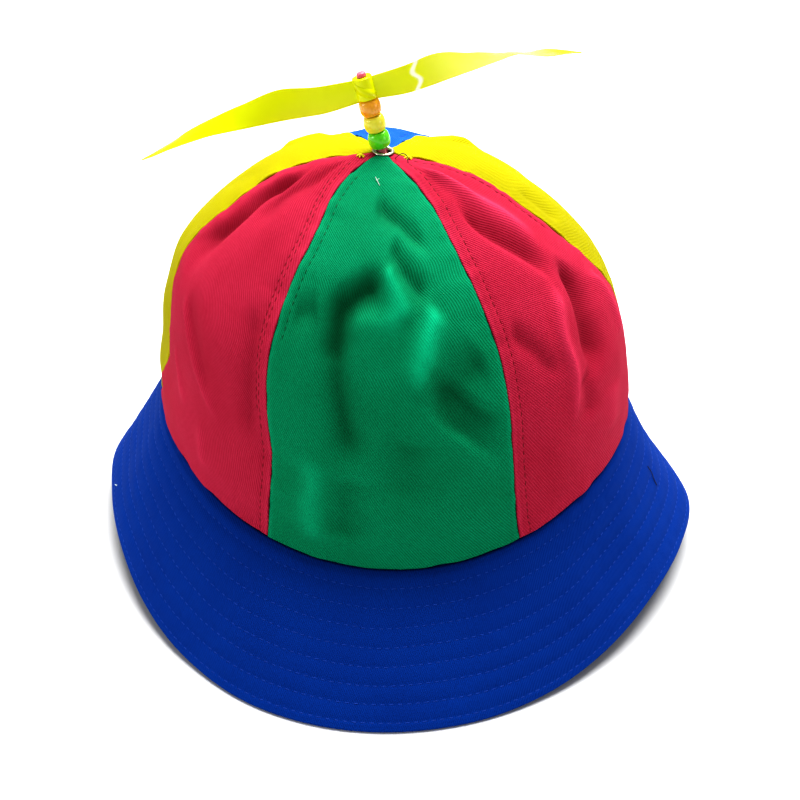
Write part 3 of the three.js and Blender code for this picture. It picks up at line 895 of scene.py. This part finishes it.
def brimTree():
    # Puffs the cloth between the rows of stitches and puckers it along them
    tree = bpy.data.node_groups.new("quilting", "GeometryNodeTree")
    keys = treeInputs(tree, {
        "Geometry": "NodeSocketGeometry", "Puff": "NodeSocketFloat", "Pucker": "NodeSocketFloat",
        "Pucker length": "NodeSocketFloat", "Cloth": "NodeSocketMaterial",
    })
    board = Board(tree)
    given = board.add("NodeGroupInput")
    place = board.vector("quilt")
    facing = board.vector("facing")
    rowPlace = board.separated(place)
    alongPlace, amount = rowPlace.pick("Y"), rowPlace.pick("Z")
    crest = abs((rowPlace * math.pi).sine()) ** 0.8
    spot = board.add("ShaderNodeCombineXYZ", {}, {
        "X": alongPlace / given.pick("Pucker length"), "Y": rowPlace * 0.5, "Z": rowPlace.floor() * 3.7,
    })
    ripple = board.noise(spot, 1.0, 2.0) - 0.5
    height = (crest * given.pick("Puff") + crest * ripple * given.pick("Pucker") * 3) * amount
    offset = board.add("ShaderNodeVectorMath", {"operation": "SCALE"}, {0: facing, "Scale": height})
    moved = board.add("GeometryNodeSetPosition", {}, {"Geometry": given, "Offset": offset})
    painted = board.add("GeometryNodeSetMaterial", {}, {"Geometry": moved, "Material": given.pick("Cloth")})
    solid = board.add("GeometryNodeRealizeInstances", {}, {"Geometry": painted})
    board.add("NodeGroupOutput", {}, {"Geometry": solid})
    return tree, keys


def brimRowShare(row):
    # How far up the brim a row of stitches runs
    return brim["firstRow"] + (brim["lastRow"] - brim["firstRow"]) * row / (brim["stitchRows"] - 1)


def makeBrim():
    turn = np.arange(brim["columns"]) * fullTurn / brim["columns"]
    seam, edge, downhill, facing, outward = brimFrame(turn)
    slant = np.linalg.norm(edge - seam, axis=-1)
    half = brim["wall"] / 2
    sections, quilts, weaves, paleRows = [], [], [], []

    def addRow(points, quilt, depth, paleness=0.0):
        # depth is the distance down from the seam, for the weave
        sections.append(points)
        quilts.append(quilt)
        weaves.append((brim["weaveRadius"] + depth + 0 * turn)[:, None] * outward)
        paleRows.append(0 * turn + paleness)

    rollSteps = 5
    tuck = brim["topRoll"]
    along = np.cumsum(np.linalg.norm(np.roll(edge, -1, 0) - edge, axis=-1))
    plain = np.stack([0 * turn, along, 0 * turn], -1)
    top = brimPoint(turn, 1 + 0 * turn)
    tucked = [0, 0, brim["tuckUp"]] - outward * brim["tuckIn"]
    addRow(top - facing * brim["tuckFront"] + tucked, plain, 0 * turn)
    for step in range(rollSteps + 1):  # the turned top edge, tucked in under the crown
        angle = math.pi / 2 * step / rollSteps
        roll = top + downhill * tuck - facing * tuck
        roll = roll - downhill * tuck * math.cos(angle) + facing * tuck * math.sin(angle)
        addRow(roll, plain, 0 * turn + tuck * (1 - math.cos(angle)))
    lowest = half * (1 + 0.64) / 0.77  # where the hem's round starts, up the slope
    # Rows of points run from the top edge to the hem, and each row of stitches lies on one of them
    stops = [1 - tuck / slant] + [brimRowShare(row) + 0 * turn for row in range(brim["stitchRows"])[::-1]]
    stops.append(lowest / slant)
    for above, below in zip(stops, stops[1:]):
        for step in range(1, brim["rowSteps"] + 1):
            up = above + (below - above) * step / brim["rowSteps"]
            depth = slant * (1 - up)
            place = (up - brim["firstRow"]) / (brim["lastRow"] - brim["firstRow"]) * (brim["stitchRows"] - 1)
            ends = smoothRamp(depth, tuck, tuck + 2) * smoothRamp(slant - depth, lowest, lowest + 2)
            # the cloth is paler towards the hem
            paleness = brim["hemPaleness"] * np.exp(-up * slant / 2)
            addRow(brimPoint(turn, up), np.stack([place, along, ends], -1), depth, paleness)
    centre = brimPoint(turn, lowest / slant) - facing * half
    for step in range(1, brim["hemSteps"] + 1):
        angle = math.pi * step / brim["hemSteps"]
        hem = centre + facing * half * math.cos(angle) + downhill * half * math.sin(angle)
        addRow(hem, plain, slant - lowest + half * angle, max(0.0, brim["hemPaleness"] - step / 12))
    for step in range(1, brim["innerRows"] + 1):
        share = step / brim["innerRows"]
        up = (lowest / slant) * (1 - share) + share * 0.985
        addRow(brimPoint(turn, up) - facing * 2 * half, plain, slant * (1 - up))
    addRow(top - facing * brim["tuckBack"] + tucked, plain, 0 * turn)

    points = np.stack(sections)
    rows = len(points)
    faces = gridFaces(rows, brim["columns"], ring=True, loop=True, flip=True)
    piece = makeObject("brim_cloth", points.reshape(-1, 3), faces)
    addAttribute(piece, "quilt", "FLOAT_VECTOR", np.stack(quilts).reshape(-1, 3))
    addAttribute(piece, "facing", "FLOAT_VECTOR", np.tile(facing * metre, (rows, 1, 1)).reshape(-1, 3))
    addAttribute(piece, "weave", "FLOAT_VECTOR", np.stack(weaves).reshape(-1, 3))
    addAttribute(piece, "wear", "FLOAT", np.stack(paleRows).ravel())
    tree, keys = brimTree()
    solidify(piece, tree, keys, {
        "Puff": brim["puff"], "Pucker": brim["pucker"], "Pucker length": brim["puckerLength"],
        "Cloth": cloths["brimBlue"],
    })
    for name in ("quilt", "facing"):
        piece.data.attributes.remove(piece.data.attributes[name])
    return piece


def brimLines():
    turn = np.linspace(0, fullTurn, 1081)
    facing = brimFrame(turn)[3]
    for row in range(brim["stitchRows"]):
        yield brimPoint(turn, brimRowShare(row) + 0 * turn), facing


piece = makeBrim()
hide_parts("brim")
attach(piece, "hat")
sewn = makeStitches("stitches_brim", list(brimLines()), "brimBlue", pitch=3.1, width=0.4, height=0.3)
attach(sewn, "hat")
print("brim made")


# Hard finishes

def glossMaterial(name, colour, deep, roughness, coat, glow=0.0, swirl=0.0):
    # Moulded plastic: a little cloudiness, fine scuffs, and a clear gloss
    material, board = newMaterial(name)
    place = board.place()
    clouds = board.noise(place, 260.0, 2.0)
    bands = board.noise(board.scaled(place, (1, 1, 2.5)), 420.0, 1.0)
    scuffs = board.noise(place, 3200.0, 3.0)
    mixed = board.colour(clouds * (1 - swirl) + bands * swirl, linear(*deep), linear(*colour))
    closeMaterial(board, {
        "Base Color": mixed,
        "Roughness": roughness + scuffs * 0.08,
        "Coat Weight": coat,
        "Coat Roughness": 0.06,
        "Subsurface Weight": glow,
        "Subsurface Radius": (0.004, 0.004, 0.002),
        "Subsurface Scale": 0.6,
        "Normal": board.bump(scuffs, 0.012),
    })
    return material


def metalMaterial():
    material, board = newMaterial("platedMetal")
    place = board.place()
    stains = board.noise(place, 520.0, 3.0)
    scratches = board.noise(board.scaled(place, (1, 1, 7)), 2400.0, 2.0)
    closeMaterial(board, {
        "Base Color": board.colour(stains, linear(214, 206, 182), linear(246, 242, 228)),
        "Metallic": 1.0,
        "Roughness": 0.2 + scratches * 0.18,
        "Normal": board.bump(scratches, 0.02),
    })
    return material


filmLook = {
    "half": 5.85,  # half the strip's width
    # edge is a painted glow along the strip's edges
    "edge": (250, 255, 16), "middle": (246, 255, 0), "pale": (253, 255, 130), "glintColour": (255, 255, 236),
    "leftFrom": 100,  # the left blade's places along the strip start at 200, the tube's at 400
    "paling": [(0.17, 0), (0.3, 0.4), (0.46, 1), (0.58, 1), (0.68, 0.1)],  # by shares of leftFrom
    "clearer": 0.3,
    # the painted white glint on the right blade: where it lies along the strip, its width and its sway; its
    # colour is the last one above
    "glint": 16.8, "glintWidth": 1.4, "glintSway": 1.1,
}


def filmMaterial(name, seeThrough):
    # Clear yellow film, deeper in its middle with a painted glow along its edges, and faint lines along the
    # strip. The right blade goes paler and clearer outwards, and has a painted white glint across it.
    row = filmLook
    material, board = newMaterial(name)
    strip = board.carried("strip", "Vector")
    along = board.separated(strip)
    across = along.pick("Y")
    lines = board.noise(board.scaled(strip, (0.05, 3.2, 1)), 1.0, 3.0)
    haze = board.noise(strip, 0.09, 2.0)
    # painted glow: the strip's edges are paler than its middle
    middle = board.ramp(abs(across) / row["half"], [(0.35, 1), (0.95, 0)])
    colour = board.colour(middle * 0.8 + lines * 0.2, linear(*row["edge"]), linear(*row["middle"]))
    onRight = 1 - along.math("GREATER_THAN", along, row["leftFrom"])
    paling = board.ramp(along / row["leftFrom"], row["paling"]) * onRight
    colour = board.colour(paling, colour, linear(*row["pale"]))
    # painted glint: a soft white S across the right blade, which also makes the film clearer there
    glintDistance = along - row["glint"] + (across * 0.75).sine() * row["glintSway"]
    glint = glintDistance.math("MAXIMUM", 1 - abs(glintDistance) / row["glintWidth"], 0.0) * onRight
    closeMaterial(board, {
        "Base Color": board.colour(glint * 1.3, colour, linear(*row["glintColour"])),
        "Roughness": 0.16 + haze * 0.14,
        "Transmission Weight": seeThrough,
        "IOR": 1.4,
        "Specular IOR Level": 0.3,
        "Coat Weight": 0.12,
        "Coat Roughness": 0.08,
        "Alpha": 1 - paling * row["clearer"] - glint * 0.3,
        "Normal": board.bump(lines, 0.03),
    })
    return material


plastics = {
    "bead_green": glossMaterial("greenBead", (128, 248, 48), (92, 228, 22), 0.16, 0.6, 0.25),
    "bead_yellow": glossMaterial("pearlBead", (255, 252, 100), (255, 238, 30), 0.2, 0.5, 0.3, 0.8),
    "bead_orange": glossMaterial("orangeBead", (255, 198, 60), (255, 162, 16), 0.16, 0.6, 0.3),
    "spindle": glossMaterial("pinkRod", (238, 142, 158), (214, 84, 112), 0.34, 0.2, 0.1),
}
metal = metalMaterial()
film = filmMaterial("yellowFilm", 0.25)
hubFilm = filmMaterial("hubFilm", 0.1)
print("hard finishes made")


# Eyelet, spindle and beads

topWorks = {
    "lean": -16.9,  # degrees about Y
    "hole": 2.6, "barrel": 3.0, "rim": 4.2, "rimHeight": 1.5,  # of the eyelet, as radii and a height
    "seat": 0.9,  # where the eyelet's flange meets the cloth
    "rod": 1.3, "head": 1.8, "headRise": 1.5, "bore": 1.6,
    "foot": 4, "footDrop": 4.6,  # the ball's radius, and how far its top is under the eyelet's middle
    "bead": 4, "beadHeight": 6.05, "beadRound": 1.4,
    "hub": 3.5, "hubHeight": 8.2,
}
spinAxis = Vector(frame["joints"][0]["axis"]).normalized()
spinPlace = Vector(frame["joints"][0]["pos_m"]) / metre
leaning = Matrix.Rotation(math.radians(topWorks["lean"]), 3, "Y")


def middleOf(node):
    low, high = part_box(node)
    return np.array((low + high) / 2) / metre


def stood(points, place, turn=0.0):
    # Points made about Z, stood along the leaning spindle at a place
    matrix = np.array(leaning @ Matrix.Rotation(turn, 3, "Z"))
    return np.asarray(points) @ matrix.T + np.asarray(place)


def roundProfile(corners, radius, steps=5):
    # A closed profile whose corners are rounded
    corners = [np.array(corner, float) for corner in corners]
    rounded = []
    for index, corner in enumerate(corners):
        before, after = corners[index - 1], corners[(index + 1) % len(corners)]
        size = min(radius, 0.45 * np.linalg.norm(before - corner), 0.45 * np.linalg.norm(after - corner))
        start = corner + unit(before - corner) * size
        end = corner + unit(after - corner) * size
        for step in range(steps + 1):
            share = step / steps
            rounded.append((1 - share) ** 2 * start + 2 * share * (1 - share) * corner + share ** 2 * end)
    return rounded


def makeEyelet():
    row = topWorks
    bottom = -row["rimHeight"]
    profile = roundProfile([
        (row["hole"], bottom), (row["rim"], bottom), (row["rim"], -row["seat"]),
        (row["barrel"], -row["seat"]), (row["barrel"], row["seat"]), (row["rim"], row["seat"]),
        (row["rim"] - 0.4, row["rimHeight"] - 0.05), (row["hole"] + 0.5, row["rimHeight"]),
        (row["hole"], row["rimHeight"] - 0.5),
    ], 0.45)
    points, faces = lathe(profile, 72)
    return makeObject("eyelet", points + middleOf("grommet"), faces, metal)


def makeBead(node):
    row = topWorks
    half = row["beadHeight"] / 2
    angles = np.linspace(-math.pi / 2, math.pi / 2, 25)
    # The barrel has flat ends round a bore, and a full side
    side = [(row["bead"] - row["beadRound"] * (1 - math.cos(a)) ** 1.15, half * math.sin(a)) for a in angles]
    throat = row["bore"]
    profile = [(throat, -half + 0.5), (throat + 0.12, -half + 0.15), (throat + 0.4, -half + 0.02)]
    profile += side + [(throat + 0.4, half - 0.02), (throat + 0.12, half - 0.15), (throat, half - 0.5)]
    points, faces = lathe(profile, 64)
    return makeObject(node.replace("bead", "pony_bead"), stood(points, middleOf(node)), faces, plastics[node])


def makeSpindle():
    row = topWorks
    headStart = row["hubHeight"] / 2 + 0.2
    below = float((middleOf("grommet") - np.array(spinPlace)) @ np.array(spinAxis)) - row["footDrop"]
    profile = [(0.001, below - 2 * row["foot"])]
    for step in range(1, 15):
        angle = math.pi * step / 16
        profile.append((row["foot"] * math.sin(angle), below - row["foot"] * (1 + math.cos(angle))))
    profile += [(row["rod"], below - 0.2), (row["rod"], headStart - 0.3), (row["head"] - 0.15, headStart)]
    for step in range(9):
        angle = math.pi / 2 * step / 9
        profile.append((row["head"] * math.cos(angle) ** 0.4, headStart + row["headRise"] * math.sin(angle)))
    profile.append((0.001, headStart + row["headRise"]))
    points, faces = lathe(profile, 40, loop=False)
    return makeObject("pink_spindle", stood(points, spinPlace), faces, plastics["spindle"])


for node, piece, slot in (
    ("grommet", makeEyelet(), "eyelet_metal"),
    ("spindle", makeSpindle(), "spindle_pink"),
    *((node, makeBead(node), node) for node in ("bead_green", "bead_yellow", "bead_orange")),
):
    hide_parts(node)
    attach(piece, "hat")
print("eyelet, spindle and beads made")


# Propeller

propeller = {
    "rightSpan": 76.6, "leftSpan": 86, "chord": 11.7, "thickness": 0.4, "turn": 5.2,
    # Sections from hub to tip: the chord's share, the twist in degrees, and the rise as a share of the span
    "sections": [
        (0.72, 0, -0.01), (0.88, -1.5, -0.01), (0.96, -8, 0.009), (0.74, -26, 0),
        (0.62, -60, -0.013), (0.66, -88, -0.042), (0.06, -90, -0.081),
    ],
    "rows": 120, "columns": 14,
    "cup": 0.35,  # how far the strip is cupped across
    "neckCup": 0.7, "neckAt": 0.66, "neckReach": 0.07,  # and where its twist is seen edge-on
    "ripple": 0.22,
    "tipRound": 0.05, "tipShare": 0.55,  # the rounded share of the span, and the chord's share at its end
    # The wrap's start and turn in degrees, and its middle's height, fall, half width and limit
    "wrapFrom": -205, "wrapTurn": 200, "wrapHigh": 2.9, "wrapFall": 6.4, "wrapHalf": 1.9, "wrapEnd": 4,
}


def makeBlade(side):
    # side is 0 for the right blade and 1 for the left
    span = propeller["leftSpan"] if side else propeller["rightSpan"]
    chords, twists, rises = (list(column) for column in zip(*propeller["sections"]))
    share = np.linspace(0, 1, propeller["rows"] + 1)
    half = propeller["chord"] * between(chords, share) / 2
    tip = np.sqrt(np.clip((1 - share) / propeller["tipRound"], 0, 1))
    half = half * (propeller["tipShare"] + (1 - propeller["tipShare"]) * tip)
    twist = np.radians(between(twists, share))
    start = (topWorks["bore"] + topWorks["hub"]) / 2
    middle = np.stack([
        start + (span - start) * share, 0 * share, span * between(rises, share),
    ], -1)
    chord = np.stack([0 * twist, np.sin(twist), np.cos(twist)], -1)
    face = np.stack([0 * twist, np.cos(twist), -np.sin(twist)], -1)
    place = -np.cos(np.linspace(0, math.pi, propeller["columns"] + 1))
    thin = propeller["thickness"] / 2 * (0.35 + 0.65 * np.sqrt(1 - place ** 2))
    cup = propeller["cup"] * (1 - smoothRamp(share, 0, 0.2))
    cup = cup + propeller["neckCup"] * np.exp(-((share - propeller["neckAt"]) / propeller["neckReach"]) ** 2)
    cup = cup[:, None] * (1 - place ** 2)
    ripple = propeller["ripple"] * softNoise(share[:, None] * 13 + 5 * side, place[None] * 0.9 + 2, 44)
    ripple = ripple * smoothRamp(share, 0.05, 0.2)[:, None]
    spine = middle[:, None] + chord[:, None] * (half[:, None] * place)[..., None]
    spine = spine + face[:, None] * (cup + ripple)[..., None]
    front = spine + face[:, None] * thin[None, :, None]
    back = spine - face[:, None] * thin[None, :, None]
    ring = np.concatenate([front, back[:, ::-1]], 1)
    along = np.repeat((share * span)[:, None], ring.shape[1], 1)
    acrossStrip = np.concatenate([place, place[::-1]]) * propeller["chord"] / 2
    strip = np.stack([along + 200 * side, np.broadcast_to(acrossStrip, along.shape), 0 * along], -1)
    points = ring.reshape(-1, 3)
    if side:
        points = points * [-1, -1, 1]
    return points, tubeFaces(*ring.shape[:2]), strip.reshape(-1, 3)


def makeWrap():
    # The strip wound round the tube, whose overlap runs down across the front
    row = propeller
    points, strips = [], []
    steps = 40
    inside, out = topWorks["hub"] - 0.1, topWorks["hub"] + 0.16
    for step in range(steps + 1):
        share = step / steps
        angle = math.radians(row["wrapFrom"] + row["wrapTurn"] * share)
        middle = row["wrapHigh"] - row["wrapFall"] * share
        low, high = middle - row["wrapHalf"], middle + row["wrapHalf"]
        for radius, height in ((inside, high), (out, high - 0.1), (out, low + 0.1), (inside, low)):
            level = np.clip(height, -row["wrapEnd"], row["wrapEnd"])
            points.append((radius * math.cos(angle), radius * math.sin(angle), level))
            strips.append((share * 12, height, 5))
    faces = gridFaces(steps + 1, 4, ring=True)
    faces += [[0, 1, 2, 3], [4 * steps + corner for corner in (3, 2, 1, 0)]]
    return np.array(points), faces, np.array(strips, float)


def makePropeller():
    row = topWorks
    half = row["hubHeight"] / 2
    tube, tubeFaces = lathe(roundProfile([
        (row["bore"], -half), (row["hub"], -half), (row["hub"], half), (row["bore"], half),
    ], 0.4), 56)
    hub = joinFilm("film_hub", [(tube, tubeFaces, tube + [400, 0, 0]), makeWrap()], hubFilm)
    blades = joinFilm("film_propeller", [makeBlade(0), makeBlade(1)], film)
    return blades, hub


def joinFilm(name, parts, material):
    points, faces, strips = [], [], []
    for partPoints, partFaces, partStrip in parts:
        start = sum(len(group) for group in points)
        points.append(partPoints)
        strips.append(partStrip)
        faces += [[start + corner for corner in face] for face in partFaces]
    placed = stood(np.concatenate(points), spinPlace, math.radians(propeller["turn"]))
    piece = makeObject(name, placed, faces, material)
    addAttribute(piece, "strip", "FLOAT_VECTOR", np.concatenate(strips))
    return piece


blades, hub = makePropeller()
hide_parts("propeller")
for piece in (blades, hub):
    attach(piece, "propeller")
print("propeller made")


# Thread ends and lint

def onGore(name, across, up, lift=0.0):
    # A point on a finished gore, at shares across it and up it
    grid = goreGrids[name]
    row = int(np.argmin(abs(grid["low"][:, 0] / grid["low"][-1, 0] - up)))
    column = int(np.argmin(abs(grid["left"][row] / grid["left"][row, -1] - across)))
    return grid["points"][row, column] + grid["normals"][row, column] * lift


def makeThreads(name, paths, radius, thread):
    points, faces = [], []
    for path in paths:
        tube, tubeFaces = sweep(smoothPath(path, 26), radius, 6, len(points))
        points += list(tube)
        faces += tubeFaces
    piece = makeObject(name, points, faces, threads[thread])
    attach(piece, "hat")


top = middleOf("grommet")
knots = []
for gore, across, up in (("panel_red_right", 0.84, 0.962), ("panel_red_left", 0.5, 0.968)):
    centre = onGore(gore, across, up, 0.55)
    for spoke in range(3):
        turn = spoke * 1.05 + 0.3
        arm = np.array([math.cos(turn), math.sin(turn) * 0.8, 0]) * 1.6
        crossing = centre + [0, 0, 0.25 + 0.1 * spoke]
        knots.append([centre - arm + [0, 0, -0.4], crossing, centre + arm + [0, 0, -0.5]])
makeThreads("sewn_knots", knots, 0.3, "yellow")
loop = [top + place for place in (
    (4.6, -3.2, -0.2), (5.6, -3.9, 1.2), (7.2, -3.8, 2.3),
    (8.9, -3.9, 1.6), (9.4, -4.8, 0.2), (9.6, -5.8, -1.0),
)]
makeThreads("thread_loop", [loop], 0.14, "dark")
fork = onGore("panel_green_front", 0.45, 0.91, 0.25)
arms = (-0.5, 0.9, 0.9), (1.4, -1.9, -0.9), (0.9, 0.5, 0.5)
lint = [[fork, fork + [0.1, 0, 0.2], fork + arm] for arm in arms]
makeThreads("lint", lint, 0.13, "white")


def onBrim(degrees, up, lift=0.5):
    turn = np.array([math.radians(degrees)])
    return (brimPoint(turn, np.array([up])) + brimFrame(turn)[3] * lift)[0]


speck = [onBrim(285.6, 0.1), onBrim(286, 0.11, 0.7), onBrim(286.6, 0.125)]
makeThreads("thread_speck", [speck], 0.22, "white")
tail = [onBrim(80.6, 0.6), onBrim(80.2, 0.55, 0.9), onBrim(79.7, 0.5, 0.7), onBrim(79.6, 0.45)]
makeThreads("thread_end", [tail], 0.16, "dark")
print("threads made")


# Floor, lights and camera

stage = {
    "floorSide": 9.0, "floorTone": 0.78, "worldLevel": 0.27,
    "look": "High Contrast", "exposure": 0.0,
    # name: (position, target, side in metres, watts)
    "lights": {
        "topLight": ((0.05, 0.5, 1.2), (0, 0, 0.08), 1.2, 29),
        "leftLight": ((-1.15, -0.5, 0.4), (0, 0, 0.1), 0.6, 3.0),
        "rightLight": ((1.2, -0.4, 0.4), (0, 0, 0.1), 0.6, 1.2),
    },
}


def makeFloor():
    half = stage["floorSide"] / 2 / metre
    points = [(-half, -half, -0.05), (half, -half, -0.05), (half, half, -0.05), (-half, half, -0.05)]
    material, board = newMaterial("paleFloor")
    place = board.place()
    mottle = board.noise(place, 6.0, 2.0)
    tone = stage["floorTone"]
    closeMaterial(board, {
        "Base Color": board.colour(mottle, (tone, tone, tone, 1), (tone + 0.03,) * 3 + (1,)),
        "Roughness": 0.8 + mottle * 0.1,
        "Specular IOR Level": 0.2,
    })
    floor = makeObject("floor", points, [[0, 1, 2, 3]], material, smooth=False)
    floor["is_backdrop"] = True


def makeLights():
    for name, (place, target, side, power) in stage["lights"].items():
        data = bpy.data.lights.new(name, "AREA")
        data.shape = "DISK"
        data.size = side
        data.energy = power
        light = addObject(name, data)
        light.location = place
        light.rotation_euler = (Vector(target) - Vector(place)).to_track_quat("-Z", "Y").to_euler()
    world = bpy.data.worlds.new("studio")
    world.use_nodes = True
    board = Board(world.node_tree)
    glow = board.add("ShaderNodeBackground", {}, {"Color": (1, 1, 1, 1), "Strength": stage["worldLevel"]})
    board.add("ShaderNodeOutputWorld", {}, {"Surface": glow})
    bpy.context.scene.world = world


camera = {
    "target": (-4.004, 6.18, 60), "distance": 573.04,
    "elevation": 33.76, "yaw": 3.57, "roll": 3.01,  # degrees
    "imageSide": 800, "focalPixels": 1426.9, "centreColumn": 395.73, "centreRow": 375.99,
    "sensor": 36,
}


def makeCamera():
    yaw, lift, roll = (math.radians(camera[key]) for key in ("yaw", "elevation", "roll"))
    back = Vector((math.sin(yaw) * math.cos(lift), -math.cos(yaw) * math.cos(lift), math.sin(lift)))
    right = Vector((math.cos(yaw), math.sin(yaw), 0))
    up = back.cross(right)
    rolledRight = right * math.cos(roll) + up * math.sin(roll)
    rolledUp = up * math.cos(roll) - right * math.sin(roll)
    data = bpy.data.cameras.new("camera")
    data.sensor_width = camera["sensor"]
    data.lens = camera["focalPixels"] / camera["imageSide"] * camera["sensor"]
    data.shift_x = 0.5 - camera["centreColumn"] / camera["imageSide"]
    data.shift_y = camera["centreRow"] / camera["imageSide"] - 0.5
    data.clip_start = 0.01
    item = addObject("camera", data)
    place = (Vector(camera["target"]) + back * camera["distance"]) * metre
    turned = Matrix((rolledRight, rolledUp, back)).transposed().to_4x4()
    item.matrix_world = Matrix.Translation(place) @ turned
    bpy.context.scene.camera = item


makeFloor()
makeLights()
makeCamera()
bpy.context.scene.view_settings.view_transform = "Standard"
bpy.context.scene.view_settings.look = stage["look"]
bpy.context.scene.view_settings.exposure = stage["exposure"]
print("floor, lights and camera made")

bpy.context.view_layer.update()
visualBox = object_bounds()
({
    "cad": [list(corner) for corner in cadBox],
    "visual": [list(corner) for corner in visualBox],
})
